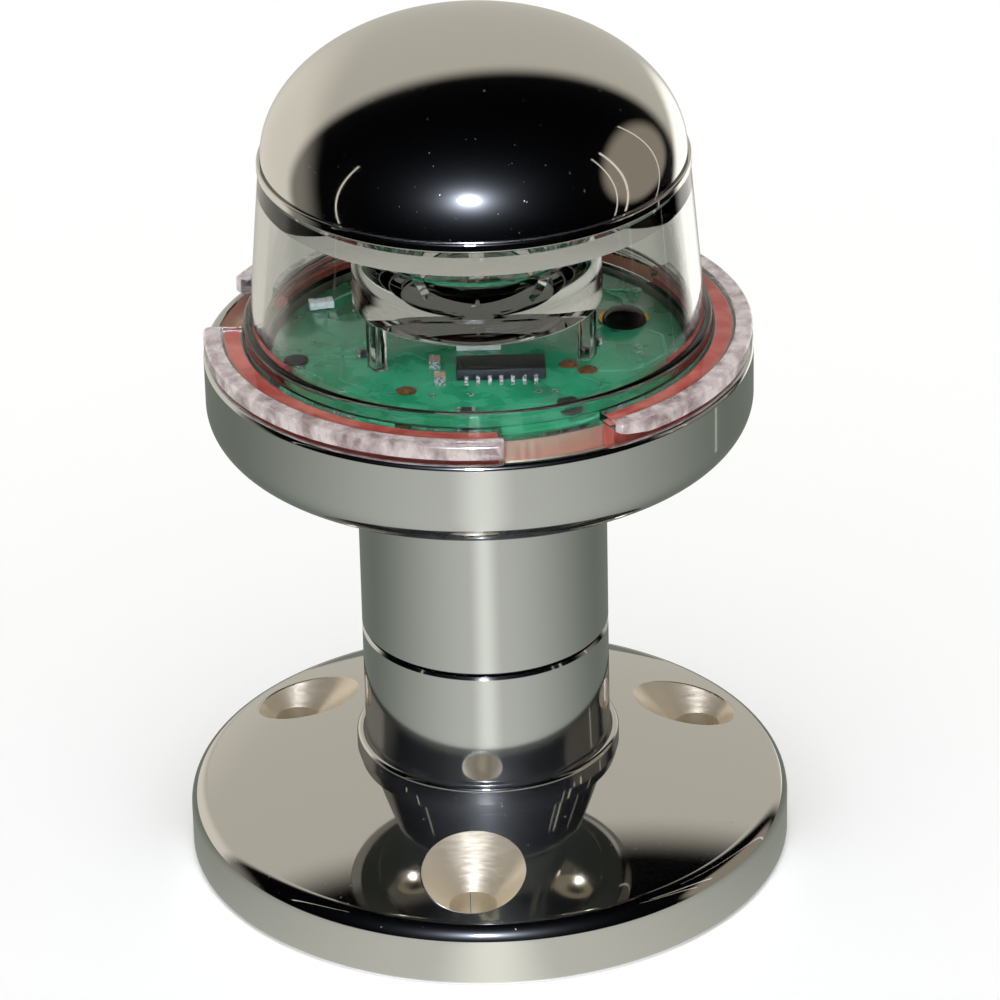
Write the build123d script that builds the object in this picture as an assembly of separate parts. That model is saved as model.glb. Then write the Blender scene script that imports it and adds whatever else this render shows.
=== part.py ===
from build123d import *
import os
from math import cos, degrees, radians, sin, tan

# Pedestal navigation light, all round, in millimetres.
# The origin is the centre of the base's underside. +Z runs up the stem and -Y is the front.

# Base: a solid crowned disc with a collar that the socket tube is pressed into
BASE_RADIUS = 35.0
BASE_WALL_HEIGHT = 5.0
BASE_EDGE_RISE = 2.4
BASE_EDGE_INSET = 1.9
BASE_UNDER_CHAMFER = 0.4
CROWN_TOP = 11.8
CROWN_BULGE = 0.5
COLLAR_WALL = 1.05
COLLAR_HEIGHT = 2.2
COLLAR_ROUND = 0.6
BASE_FLOOR = 4.0

# Countersunk screw holes in the base
SCREW_COUNT = 3
SCREW_CIRCLE_RADIUS = 27.6
SCREW_FIRST_ANGLE = -94.5
SCREW_HOLE_RADIUS = 2.75
SCREW_MOUTH_RADIUS = 5.9
SCREW_MOUTH_ROUND = 0.5
SCREW_CUT_REACH = 6.0

# Rubber grommet where a cable comes up through the deck
GROMMET_BORE_RADIUS = 3.0
GROMMET_NECK_RADIUS = 4.6
GROMMET_LIP_RADIUS = 6.4
GROMMET_LIP_THICKNESS = 1.2
GROMMET_STEP_CLEARANCE = 0.2
GROMMET_SEAT_GAP = 0.1
GROMMET_TOP_CHAMFER = 0.6

# Socket tube and the stem that screws into it
STEM_RADIUS = 14.25
SOCKET_LENGTH = 23.85
SOCKET_BORE_RADIUS = 11.5
SEAM_GAP = 0.3
SEAM_CHAMFER = 0.3
STEM_LENGTH = 22.45
STEM_BORE_RADIUS = 9.4
SPIGOT_LENGTH = 9.0
SPIGOT_CLEARANCE = 0.06
PILOT_LENGTH = 1.5
THREAD_DEPTH = 0.6
RING_SECTION_RADIUS = 0.62
RING_GROOVE_WIDTH = 1.6
RING_CLEARANCE = 0.03
RING_GROOVE_DROP = 1.0
THREAD_RELIEF = 0.5

# Pan: the cup on top of the stem
PAN_RADIUS = 31.0
PAN_HEIGHT = 12.9
PAN_LIP_RADIUS = 22.8
PAN_LIP_HEIGHT = 1.0
PAN_BOWL_HEIGHT = 5.9
PAN_FLOOR = 2.6
PAN_RIM_WIDTH = 1.2
PAN_RIM_ROUND = 0.55
CHANNEL_DEPTH = 2.5
CROWN_RING_RADIUS = 26.3
CROWN_RING_RISE = 0.55
LIP_RECESS_DEPTH = 0.45
LIP_RECESS_MARGIN = 0.12
PAN_HOLLOW_DROP = 1.0
PAN_HOLLOW_FOOT_GAP = 0.3
PAN_HOLLOW_BULGE = 0.8

# Clamp between the stem and the pan
NOSE_RADIUS = 12.0
NOSE_CLEARANCE = 0.05
NOSE_PROUD = 0.2
WASHER_RADIUS = 16.2
WASHER_THICKNESS = 0.8
NUT_RADIUS = 15.6
NUT_THICKNESS = 2.2
NUT_SLOT_WIDTH = 2.6
NUT_SLOT_DEPTH = 1.4

# Lens
NOTCH_COUNT = 3
NOTCH_FIRST_ANGLE = -73.0
NOTCH_WIDTH = 24.5
NOTCH_DEPTH_GAP = 0.1
FLANGE_RADIUS = 30.9
FLANGE_THICKNESS = 1.7
FLANGE_SEAT_GAP = 0.15
FLANGE_EDGE_ROUND = 0.35
RAMP_ANGLE = 8.0
RAMP_RISE = 0.7
LENS_FOOT_RADIUS = 26.4
LENS_FOOT_HEIGHT = 1.6
LENS_FOOT_ROUND = 0.6
LENS_BASE_RADIUS = 25.6
LENS_TOP_RADIUS = 24.0
LENS_CONE_HEIGHT = 18.1
LENS_WALL = 1.6
LENS_NECK_RADIUS = 22.3
LENS_NECK_HEIGHT = 3.2
LENS_NECK_WALL = 1.5
SKIRT_RADIUS = 24.75
SKIRT_WALL = 1.0
SKIRT_DEPTH = 5.8
SKIRT_CLEARANCE = 0.12

# Bayonet lugs on the lens skirt, and their way into the pan
LUG_REACH = 0.85
LUG_HEIGHT = 1.1
LUG_WIDTH = 12.0
LUG_OFFSET = 60.0
LUG_CLEARANCE = 0.15
LUG_LIFT = 0.1
LUG_ROOT = 0.3
LUG_SIDE_CLEARANCE = 0.7
LUG_WAY_STEP = 0.05
TWIST_ANGLE = 24.0

# Red silicone gasket between the lens flange and the pan
GASKET_INNER_RADIUS = 26.65
GASKET_OUTER_RADIUS = 28.65
GASKET_REBATE = 0.7
GASKET_FOOT = 0.5
GASKET_CLEARANCE = 0.1
GASKET_NOTCH_MARGIN = 1.0
GASKET_SIDE_CLEARANCE = 0.05

# Dome cap over the lens
CAP_LIP_RADIUS = 24.15
CAP_LIP_HEIGHT = 1.1
CAP_LIP_ROUND = 0.25
CAP_RADIUS = 23.75
CAP_RISE = 15.3
CAP_WALL = 1.2
CAP_FIT = 0.05
CAP_SEAL_WIDTH = 0.9
CAP_SEAL_HEIGHT = 0.9

# Board and the moulded carrier under it
BOARD_RADIUS = 23.2
BOARD_THICKNESS = 1.6
CARRIER_HEIGHT = 6.0
CARRIER_RADIUS = 22.9
CARRIER_WALL_RADIUS = 19.2
CARRIER_WALL = 1.4
CARRIER_FLOOR = 1.2
CARRIER_FLANGE = 1.4
POST_RADIUS = 2.0
POST_TIP_RADIUS = 1.1
POST_HEIGHT = 3.2
POST_HEAD_HEIGHT = 0.25
POST_HEAD_MARGIN = 0.2
POST_CIRCLE_RADIUS = 20.6
POST_ANGLES = (-168.0, -62.0, 72.0)
POST_FIT = 0.05

# Clear optic that spreads the light sideways
OPTIC_RADIUS = 14.0
OPTIC_LEG_HEIGHT = 6.0
OPTIC_RING_HEIGHT = 6.4
OPTIC_SHOULDER_ROUND = 2.8
OPTIC_STEPS = 4
OPTIC_STEP_WIDTH = 1.6
OPTIC_STEP_SLOPE = 0.4
OPTIC_STEP_FALL = 0.15
OPTIC_UNDER_DROP = 0.4
OPTIC_UNDER_EDGE = 1.2
OPTIC_LEG_INSET = 0.3
OPTIC_LEG_OVERLAP = 0.5
OPTIC_WEB = 1.3
OPTIC_LEG_WIDTH = 2.2
OPTIC_LEG_DEPTH = 1.5
OPTIC_LEG_ANGLES = (-150.0, -22.0, 90.0)

# Light-emitting diode
LED_SIDE = 5.0
LED_BODY_HEIGHT = 1.2
LED_DOME_RADIUS = 2.0

# What stands on the board: (x, y) from its centre, sizes along x, y and z
CHIP_PLACE = (2.4, -8.6)
CHIP_SIZE = (9.8, 3.9, 1.5)
CHIP_CHAMFER = 0.25
CHIP_PIN_COUNT = 7
CHIP_PIN_PITCH = 1.27
CHIP_PIN_SIZE = (0.42, 0.95, 0.2)
CAPACITOR_SIZE = (1.25, 2.0, 1.0)
CAPACITOR_PLACES = ((-4.3, -10.4), (-4.9, -6.2), (-2.0, 13.0), (10.5, 12.5))
RESISTOR_SIZE = (2.0, 1.25, 0.5)
RESISTOR_PLACES = ((-12.5, -3.0), (12.8, -1.5), (-9.0, 15.5), (2.5, 17.0), (-1.5, -19.4))
FUSE_PLACE = (-18.1, 10.3)
FUSE_SIZE = (2.9, 1.5, 0.9)
FUSE_TURN = 12.0
DROP_PLACE = (16.6, 4.2)
DROP_SIZE = (5.1, 4.6, 1.7)
PAD_SIZE = (5.8, 5.6, 0.15)
PAD_SHIFT = 0.9
SOLDER_PLACES = ((-8.0, -12.4), (11.9, -8.2), (9.9, -6.6))
SOLDER_RADIUS = 1.2
SOLDER_HEIGHT = 0.35
SOLDER_TOP_RADIUS = 0.6

# Leads, sleeve and terminal block inside the stem
LEAD_RADIUS = 0.7
LEAD_SPACING = 2.4
LEAD_BEND_SHARE = 0.45
LEAD_OVER_NUT = 0.6
LEAD_REACH_SHARE = 0.25
LEAD_SLEEVE_TAIL = 1.0
LEAD_BLOCK_RISE = 1.8
LEAD_BLOCK_DEPTH = 2.0
SLEEVE_LENGTH = 9.0
SLEEVE_WALL = 0.5
SLEEVE_FIT = 0.03
SLEEVE_DROP = 5.5
SLEEVE_TOP_DROP = 3.0
BLOCK_SIZE = (11.0, 7.6, 9.5)
BLOCK_RISE = -2.0
BLOCK_POLE_SPACING = 5.2
BLOCK_WIRE_RADIUS = 1.3
BLOCK_SCREW_RADIUS = 1.35
BLOCK_SCREW_LENGTH = 2.6
BLOCK_SCREW_PROUD = 0.2
BLOCK_SCREW_SLOT = 0.45
BLOCK_SCREW_SLOT_DEPTH = 1.2
BLOCK_SCREW_CLEARANCE = 0.03
BLOCK_CHAMFER = 0.6

# Levels and radii that follow from the sizes above
COLLAR_RADIUS = STEM_RADIUS + COLLAR_WALL
COLLAR_TOP = CROWN_TOP + COLLAR_HEIGHT
SOCKET_TOP = BASE_FLOOR + SOCKET_LENGTH
STEM_Z = SOCKET_TOP + SEAM_GAP
SPIGOT_RADIUS = SOCKET_BORE_RADIUS - SPIGOT_CLEARANCE
SPIGOT_BOTTOM = STEM_Z - SPIGOT_LENGTH
PAN_Z = STEM_Z + STEM_LENGTH
PAN_FLOOR_TOP = PAN_Z + PAN_FLOOR
PAN_TOP = PAN_Z + PAN_HEIGHT
PAN_BORE_RADIUS = SKIRT_RADIUS + SKIRT_CLEARANCE
CHANNEL_FLOOR = PAN_TOP - CHANNEL_DEPTH
CROWN_RING_TOP = PAN_TOP + CROWN_RING_RISE
FLANGE_Z = CROWN_RING_TOP + FLANGE_SEAT_GAP
FLANGE_TOP = FLANGE_Z + FLANGE_THICKNESS
LENS_FOOT_TOP = FLANGE_TOP + LENS_FOOT_HEIGHT
LENS_SHOULDER = LENS_FOOT_TOP + LENS_CONE_HEIGHT
SKIRT_BOTTOM = FLANGE_Z - SKIRT_DEPTH
LUG_Z = SKIRT_BOTTOM + LUG_LIFT
LUG_RADIUS = SKIRT_RADIUS + LUG_REACH
CAP_DOME_Z = LENS_SHOULDER + CAP_LIP_HEIGHT
CARRIER_TOP = PAN_FLOOR_TOP + CARRIER_HEIGHT
BOARD_Z = CARRIER_TOP + POST_HEIGHT
BOARD_TOP = BOARD_Z + BOARD_THICKNESS
NOSE_TOP = PAN_FLOOR_TOP + CARRIER_FLOOR + WASHER_THICKNESS + NUT_THICKNESS + NOSE_PROUD
OPTIC_Z = BOARD_TOP + OPTIC_LEG_HEIGHT
BLOCK_Z = STEM_Z + BLOCK_RISE
SCREW_ANGLES = [SCREW_FIRST_ANGLE + 360 / SCREW_COUNT * i for i in range(SCREW_COUNT)]
NOTCH_ANGLES = [NOTCH_FIRST_ANGLE + 360 / NOTCH_COUNT * i for i in range(NOTCH_COUNT)]
LUG_ANGLES = [angle + LUG_OFFSET for angle in NOTCH_ANGLES]
FROM_BELOW = (Align.CENTER, Align.CENTER, Align.MIN)


def at_angle(radius, angle, z=0.0):
    """A place on a circle round the axis."""
    return (radius * cos(radians(angle)), radius * sin(radians(angle)), z)


def disc(radius, low, high):
    """A plain cylinder on the axis."""
    return Pos(0, 0, low) * Cylinder(radius, high - low, align=FROM_BELOW)


def tube(outer, inner, low, high):
    """A plain ring on the axis."""
    return disc(outer, low, high) - disc(inner, low - 1, high + 1)


def turned(*lines):
    """A closed outline of lines and arcs, in radius and height, spun round the axis."""
    return revolve(Plane.XZ * make_face(Curve() + list(lines)), Axis.Z)


def sector(inner, outer, low, high, middle, width):
    """A block of a ring, width degrees long, centred on an angle."""
    section = Plane.XZ * make_face(Polyline((inner, low), (outer, low), (outer, high), (inner, high), close=True))
    return Rot(0, 0, middle - width / 2) * revolve(section, Axis.Z, revolution_arc=width)


def block(place, size, z):
    """A box that stands on a level."""
    return Pos(place[0], place[1], z) * Box(*size, align=FROM_BELOW)


def quarter_bow(start, end, corner):
    """A quarter of an oval from start to end, bowed towards the corner."""
    pull = 0.5523
    handles = [tuple(p + pull * (c - p) for p, c in zip(point, corner)) for point in (start, end)]
    return Bezier(start, handles[0], handles[1], end)


def crown_height(radius):
    """How high the base's crown is at a radius: the chord plus a shallow bulge."""
    outer = BASE_RADIUS - BASE_EDGE_INSET
    low = BASE_WALL_HEIGHT + BASE_EDGE_RISE
    share = (outer - radius) / (outer - COLLAR_RADIUS)
    return low + (CROWN_TOP - low) * share + 4 * CROWN_BULGE * share * (1 - share)


def make_base_flange():
    edge = BASE_RADIUS - BASE_EDGE_INSET
    edge_top = BASE_WALL_HEIGHT + BASE_EDGE_RISE
    middle = (edge + COLLAR_RADIUS) / 2
    outline = [
        Line((0, 0), (BASE_RADIUS - BASE_UNDER_CHAMFER, 0)),
        Line((BASE_RADIUS - BASE_UNDER_CHAMFER, 0), (BASE_RADIUS, BASE_UNDER_CHAMFER)),
        Line((BASE_RADIUS, BASE_UNDER_CHAMFER), (BASE_RADIUS, BASE_WALL_HEIGHT)),
        TangentArc((BASE_RADIUS, BASE_WALL_HEIGHT), (edge, edge_top), tangent=(0, 1)),
        ThreePointArc((edge, edge_top), (middle, crown_height(middle)), (COLLAR_RADIUS, CROWN_TOP)),
        Line((COLLAR_RADIUS, CROWN_TOP), (COLLAR_RADIUS, COLLAR_TOP - COLLAR_ROUND)),
        TangentArc((COLLAR_RADIUS, COLLAR_TOP - COLLAR_ROUND),
                   (COLLAR_RADIUS - COLLAR_ROUND, COLLAR_TOP), tangent=(0, 1)),
        Line((COLLAR_RADIUS - COLLAR_ROUND, COLLAR_TOP), (0, COLLAR_TOP)),
        Line((0, COLLAR_TOP), (0, 0)),
    ]
    flange = turned(*outline) - disc(STEM_RADIUS, BASE_FLOOR, COLLAR_TOP + 1)
    lip = GROMMET_LIP_RADIUS + GROMMET_STEP_CLEARANCE
    flange -= disc(GROMMET_NECK_RADIUS, -1, BASE_FLOOR + 1)
    flange -= disc(lip, -1, GROMMET_LIP_THICKNESS + GROMMET_STEP_CLEARANCE)
    mouth_z = crown_height(SCREW_CIRCLE_RADIUS)
    reach = SCREW_CUT_REACH
    for angle in SCREW_ANGLES:
        cone_bottom = mouth_z - (SCREW_MOUTH_RADIUS - SCREW_HOLE_RADIUS)
        cutter = turned(Polyline(
            (0, -1), (SCREW_HOLE_RADIUS, -1), (SCREW_HOLE_RADIUS, cone_bottom),
            (SCREW_MOUTH_RADIUS + reach, mouth_z + reach), (0, mouth_z + reach), close=True))
        place = at_angle(SCREW_CIRCLE_RADIUS, angle)
        flange -= Pos(*place) * cutter
    return fillet(flange.edges().filter_by(is_screw_mouth), SCREW_MOUTH_ROUND)


def is_screw_mouth(edge):
    """The closed edge where a countersink meets the crown."""
    middle = edge.bounding_box().center()
    off_axis = (middle.X ** 2 + middle.Y ** 2) ** 0.5
    return edge.length > 5 * SCREW_MOUTH_RADIUS and abs(off_axis - SCREW_CIRCLE_RADIUS) < 2


def make_socket_tube():
    body = tube(STEM_RADIUS, SOCKET_BORE_RADIUS, BASE_FLOOR, SOCKET_TOP)
    top = body.edges().filter_by(GeomType.CIRCLE).filter_by(
        lambda edge: edge.center().Z > SOCKET_TOP - 0.1 and edge.radius > STEM_RADIUS - 0.1)
    return chamfer(top, SEAM_CHAMFER)


def make_cable_grommet():
    top = BASE_FLOOR + GROMMET_LIP_THICKNESS
    return turned(Polyline(
        (GROMMET_BORE_RADIUS, GROMMET_SEAT_GAP), (GROMMET_LIP_RADIUS, GROMMET_SEAT_GAP),
        (GROMMET_LIP_RADIUS, GROMMET_LIP_THICKNESS), (GROMMET_NECK_RADIUS, GROMMET_LIP_THICKNESS),
        (GROMMET_NECK_RADIUS, BASE_FLOOR), (GROMMET_LIP_RADIUS - GROMMET_TOP_CHAMFER, BASE_FLOOR),
        (GROMMET_LIP_RADIUS - 2 * GROMMET_TOP_CHAMFER, top), (GROMMET_BORE_RADIUS, top), close=True))


def groove_levels():
    """Low and high edge of the sealing ring's groove in the spigot."""
    high = STEM_Z - RING_GROOVE_DROP
    return high - RING_GROOVE_WIDTH, high


def make_stem_oring():
    low, high = groove_levels()
    centre_radius = SOCKET_BORE_RADIUS - RING_CLEARANCE - RING_SECTION_RADIUS
    return Pos(0, 0, (low + high) / 2) * Torus(centre_radius, RING_SECTION_RADIUS)


def make_stem_tube():
    low, high = groove_levels()
    core = SPIGOT_RADIUS - THREAD_DEPTH
    groove = SOCKET_BORE_RADIUS - 2 * RING_CLEARANCE - 2 * RING_SECTION_RADIUS
    pilot_top = SPIGOT_BOTTOM + PILOT_LENGTH
    edge = STEM_RADIUS - SEAM_CHAMFER
    return turned(Polyline(
        (STEM_BORE_RADIUS, SPIGOT_BOTTOM), (SPIGOT_RADIUS, SPIGOT_BOTTOM), (SPIGOT_RADIUS, pilot_top),
        (core, pilot_top), (core, low - THREAD_RELIEF), (SPIGOT_RADIUS, low - THREAD_RELIEF), (SPIGOT_RADIUS, low),
        (groove, low), (groove, high), (SPIGOT_RADIUS, high), (SPIGOT_RADIUS, STEM_Z), (edge, STEM_Z),
        (STEM_RADIUS, STEM_Z + SEAM_CHAMFER), (STEM_RADIUS, PAN_Z), (NOSE_RADIUS, PAN_Z),
        (NOSE_RADIUS, NOSE_TOP), (STEM_BORE_RADIUS, NOSE_TOP), close=True))


def make_head_pan():
    lip_top = PAN_Z + PAN_LIP_HEIGHT
    bowl_top = lip_top + PAN_BOWL_HEIGHT
    rim_inner = PAN_RADIUS - PAN_RIM_WIDTH
    lug_top = LUG_Z + LUG_HEIGHT + LUG_CLEARANCE
    hollow = SKIRT_BOTTOM - PAN_HOLLOW_DROP
    inner_foot = CARRIER_WALL_RADIUS + PAN_HOLLOW_FOOT_GAP
    outline = [
        Polyline((NOSE_RADIUS + NOSE_CLEARANCE, PAN_Z), (PAN_LIP_RADIUS, PAN_Z), (PAN_LIP_RADIUS, lip_top)),
        quarter_bow((PAN_LIP_RADIUS, lip_top), (PAN_RADIUS, bowl_top), (PAN_RADIUS, lip_top)),
        Line((PAN_RADIUS, bowl_top), (PAN_RADIUS, PAN_TOP - PAN_RIM_ROUND)),
        TangentArc((PAN_RADIUS, PAN_TOP - PAN_RIM_ROUND), (PAN_RADIUS - PAN_RIM_ROUND, PAN_TOP), tangent=(0, 1)),
        Polyline((PAN_RADIUS - PAN_RIM_ROUND, PAN_TOP), (rim_inner, PAN_TOP), (rim_inner, CHANNEL_FLOOR),
                 (CROWN_RING_RADIUS, CHANNEL_FLOOR), (CROWN_RING_RADIUS, CROWN_RING_TOP),
                 (PAN_BORE_RADIUS, CROWN_RING_TOP), (PAN_BORE_RADIUS, hollow)),
        ThreePointArc((PAN_BORE_RADIUS, hollow),
                      ((PAN_BORE_RADIUS + inner_foot) / 2 + PAN_HOLLOW_BULGE,
                       (hollow + PAN_FLOOR_TOP) / 2 - PAN_HOLLOW_BULGE),
                      (inner_foot, PAN_FLOOR_TOP)),
        Polyline((inner_foot, PAN_FLOOR_TOP), (NOSE_RADIUS + NOSE_CLEARANCE, PAN_FLOOR_TOP),
                 (NOSE_RADIUS + NOSE_CLEARANCE, PAN_Z)),
    ]
    pan = turned(*outline)
    way_radius = LUG_RADIUS + LUG_CLEARANCE
    pan -= tube(way_radius, PAN_BORE_RADIUS - 0.5, LUG_Z - LUG_CLEARANCE, lug_top)
    for angle in LUG_ANGLES:
        pan -= sector(PAN_BORE_RADIUS - 0.5, way_radius - LUG_WAY_STEP, lug_top - LUG_CLEARANCE,
                      CROWN_RING_TOP + 1, angle + TWIST_ANGLE, LUG_WIDTH + 2 * LUG_SIDE_CLEARANCE)
    for angle in NOTCH_ANGLES:
        pan -= sector(PAN_LIP_RADIUS - LIP_RECESS_DEPTH, PAN_LIP_RADIUS + 1, PAN_Z + LIP_RECESS_MARGIN,
                      lip_top - LIP_RECESS_MARGIN, angle, NOTCH_WIDTH)
    return pan


def make_stem_washer():
    low = PAN_FLOOR_TOP + CARRIER_FLOOR
    return tube(WASHER_RADIUS, NOSE_RADIUS + NOSE_CLEARANCE, low, low + WASHER_THICKNESS)


def make_stem_ring_nut():
    low = PAN_FLOOR_TOP + CARRIER_FLOOR + WASHER_THICKNESS
    nut = tube(NUT_RADIUS, NOSE_RADIUS + NOSE_CLEARANCE, low, low + NUT_THICKNESS)
    for quarter in range(4):
        place = at_angle(NUT_RADIUS, 45 + 90 * quarter, low - 1)
        slot = Box(2 * NUT_SLOT_DEPTH, NUT_SLOT_WIDTH, NUT_THICKNESS + 2, align=FROM_BELOW)
        nut -= Pos(*place) * Rot(0, 0, 45 + 90 * quarter) * slot
    return nut


def make_board_carrier():
    wall_inner = CARRIER_WALL_RADIUS - CARRIER_WALL
    carrier = turned(Polyline(
        (NOSE_RADIUS + NOSE_CLEARANCE, PAN_FLOOR_TOP), (CARRIER_WALL_RADIUS, PAN_FLOOR_TOP),
        (CARRIER_WALL_RADIUS, CARRIER_TOP - CARRIER_FLANGE), (CARRIER_RADIUS, CARRIER_TOP - CARRIER_FLANGE),
        (CARRIER_RADIUS, CARRIER_TOP), (wall_inner, CARRIER_TOP), (wall_inner, PAN_FLOOR_TOP + CARRIER_FLOOR),
        (NOSE_RADIUS + NOSE_CLEARANCE, PAN_FLOOR_TOP + CARRIER_FLOOR), close=True))
    head_radius = POST_TIP_RADIUS + POST_HEAD_MARGIN
    for angle in POST_ANGLES:
        place = at_angle(POST_CIRCLE_RADIUS, angle)
        post = disc(POST_RADIUS, CARRIER_TOP - 0.1, BOARD_Z) + disc(POST_TIP_RADIUS, BOARD_Z - 0.1, BOARD_TOP)
        head = disc(head_radius, BOARD_TOP, BOARD_TOP + POST_HEAD_HEIGHT)
        carrier += Pos(*place) * (post + head)
    return carrier


def make_circuit_board():
    board = disc(BOARD_RADIUS, BOARD_Z, BOARD_TOP)
    for angle in POST_ANGLES:
        place = at_angle(POST_CIRCLE_RADIUS, angle)
        board -= Pos(*place) * disc(POST_TIP_RADIUS + POST_FIT, BOARD_Z - 1, BOARD_TOP + 1)
    return board


def make_led_emitter():
    body = block((0, 0), (LED_SIDE, LED_SIDE, LED_BODY_HEIGHT), BOARD_TOP)
    low = BOARD_TOP + LED_BODY_HEIGHT
    dome = turned(
        Line((0, low - 0.1), (LED_DOME_RADIUS, low - 0.1)),
        Line((LED_DOME_RADIUS, low - 0.1), (LED_DOME_RADIUS, low)),
        CenterArc((0, low), LED_DOME_RADIUS, 0, 90),
        Line((0, low + LED_DOME_RADIUS), (0, low - 0.1)))
    return body + dome


def make_light_optic():
    """A ring with a stepped funnel inside it, on three legs."""
    ring_top = OPTIC_Z + OPTIC_RING_HEIGHT
    shoulder = OPTIC_RADIUS - OPTIC_SHOULDER_ROUND
    step_drop = (OPTIC_RING_HEIGHT - OPTIC_WEB) / OPTIC_STEPS
    funnel = [(shoulder, ring_top)]
    for step in range(OPTIC_STEPS):
        outer = shoulder - step * OPTIC_STEP_WIDTH
        low = ring_top - (step + 1) * step_drop
        funnel.append((outer - OPTIC_STEP_SLOPE, low))
        funnel.append((outer - OPTIC_STEP_WIDTH, low + OPTIC_STEP_FALL))
    middle = OPTIC_Z + OPTIC_WEB - OPTIC_UNDER_DROP
    under = shoulder - OPTIC_STEPS * OPTIC_STEP_WIDTH
    funnel += [(0, middle), (0, middle - OPTIC_WEB), (under, OPTIC_Z - OPTIC_UNDER_DROP),
               (OPTIC_RADIUS - OPTIC_UNDER_EDGE, OPTIC_Z - OPTIC_UNDER_DROP), (OPTIC_RADIUS, OPTIC_Z)]
    optic = turned(
        Polyline(*funnel),
        Line((OPTIC_RADIUS, OPTIC_Z), (OPTIC_RADIUS, ring_top - OPTIC_SHOULDER_ROUND)),
        CenterArc((shoulder, ring_top - OPTIC_SHOULDER_ROUND), OPTIC_SHOULDER_ROUND, 0, 90))
    for angle in OPTIC_LEG_ANGLES:
        place = at_angle(OPTIC_RADIUS - OPTIC_LEG_DEPTH / 2 - OPTIC_LEG_INSET, angle, BOARD_TOP)
        leg = Box(OPTIC_LEG_DEPTH, OPTIC_LEG_WIDTH, OPTIC_LEG_HEIGHT + OPTIC_LEG_OVERLAP, align=FROM_BELOW)
        optic += Pos(*place) * Rot(0, 0, angle) * leg
    return optic


def make_driver_chip():
    body = block(CHIP_PLACE, CHIP_SIZE, BOARD_TOP)
    return chamfer(body.edges().group_by(Axis.Z)[-1], CHIP_CHAMFER)


def make_driver_chip_pins():
    pins = []
    half = (CHIP_SIZE[1] + CHIP_PIN_SIZE[1]) / 2
    for side in (-1, 1):
        for number in range(CHIP_PIN_COUNT):
            x = CHIP_PLACE[0] + (number - (CHIP_PIN_COUNT - 1) / 2) * CHIP_PIN_PITCH
            pins.append(block((x, CHIP_PLACE[1] + side * half), CHIP_PIN_SIZE, BOARD_TOP))
    return Compound(pins)


def make_small_parts(places, size):
    return Compound([block(place, size, BOARD_TOP) for place in places])


def make_surface_fuse():
    return Pos(*FUSE_PLACE, BOARD_TOP) * Rot(0, 0, FUSE_TURN) * Box(*FUSE_SIZE, align=FROM_BELOW)


def make_resin_drop():
    """A flat-bottomed bead of black resin."""
    low = BOARD_TOP + PAD_SIZE[2]
    radius = DROP_SIZE[0] / 2
    height = DROP_SIZE[2]
    bead = turned(
        Line((0, 0), (radius, 0)),
        quarter_bow((radius, 0), (0, height), (radius, height)),
        Line((0, height), (0, 0)))
    return Pos(*DROP_PLACE, low) * bead


def make_drop_pad():
    pad = Cylinder(PAD_SIZE[0] / 2, PAD_SIZE[2], align=FROM_BELOW)
    return Pos(DROP_PLACE[0], DROP_PLACE[1] + PAD_SHIFT, BOARD_TOP) * pad


def make_solder_joints():
    joints = []
    for place in SOLDER_PLACES:
        joint = Cone(SOLDER_RADIUS, SOLDER_TOP_RADIUS, SOLDER_HEIGHT, align=FROM_BELOW)
        joints.append(Pos(*place, BOARD_TOP) * joint)
    return Compound(joints)


def bend_radii(points):
    """As large an arc as the two runs at each corner allow."""
    radii = []
    for before, corner, after in zip(points, points[1:], points[2:]):
        first = Vector(*corner) - Vector(*before)
        second = Vector(*after) - Vector(*corner)
        turn = radians(first.get_angle(second))
        radii.append(LEAD_BEND_SHARE * min(first.length, second.length) / tan(turn / 2))
    return radii


def lead_points(side, start):
    """From under the board, over the nut and down the stem to the terminal block."""
    over = NOSE_TOP + 2 * LEAD_RADIUS
    x = side * LEAD_SPACING / 2
    pole = side * BLOCK_POLE_SPACING / 2
    block_top = BLOCK_Z + BLOCK_SIZE[2]
    sleeve_low, sleeve_high = sleeve_levels()
    return [
        (start[0], start[1], BOARD_Z),
        (start[0], start[1], over + LEAD_OVER_NUT),
        (x, start[1] * LEAD_REACH_SHARE, over),
        (x, 0, sleeve_high + SLEEVE_TOP_DROP),
        (x, 0, sleeve_low - LEAD_SLEEVE_TAIL),
        (pole, 0, block_top + LEAD_BLOCK_RISE),
        (pole, 0, block_top - LEAD_BLOCK_DEPTH),
    ]


def make_lead(side, start):
    points = lead_points(side, start)
    path = FilletPolyline(*points, radius=bend_radii(points))
    section = Plane(path @ 0, z_dir=path % 0) * Circle(LEAD_RADIUS)
    return sweep(section, path=path)


def sleeve_levels():
    high = NOSE_TOP - SLEEVE_DROP
    return high - SLEEVE_LENGTH, high


def make_lead_sleeve():
    low, high = sleeve_levels()
    width = LEAD_SPACING + 2 * LEAD_RADIUS + 2 * SLEEVE_WALL
    depth = 2 * LEAD_RADIUS + 2 * SLEEVE_WALL
    sleeve = Pos(0, 0, low) * extrude(SlotOverall(width, depth), high - low)
    for side in (-1, 1):
        sleeve -= Pos(side * LEAD_SPACING / 2, 0, 0) * disc(LEAD_RADIUS + SLEEVE_FIT, low - 1, high + 1)
    return sleeve


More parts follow.
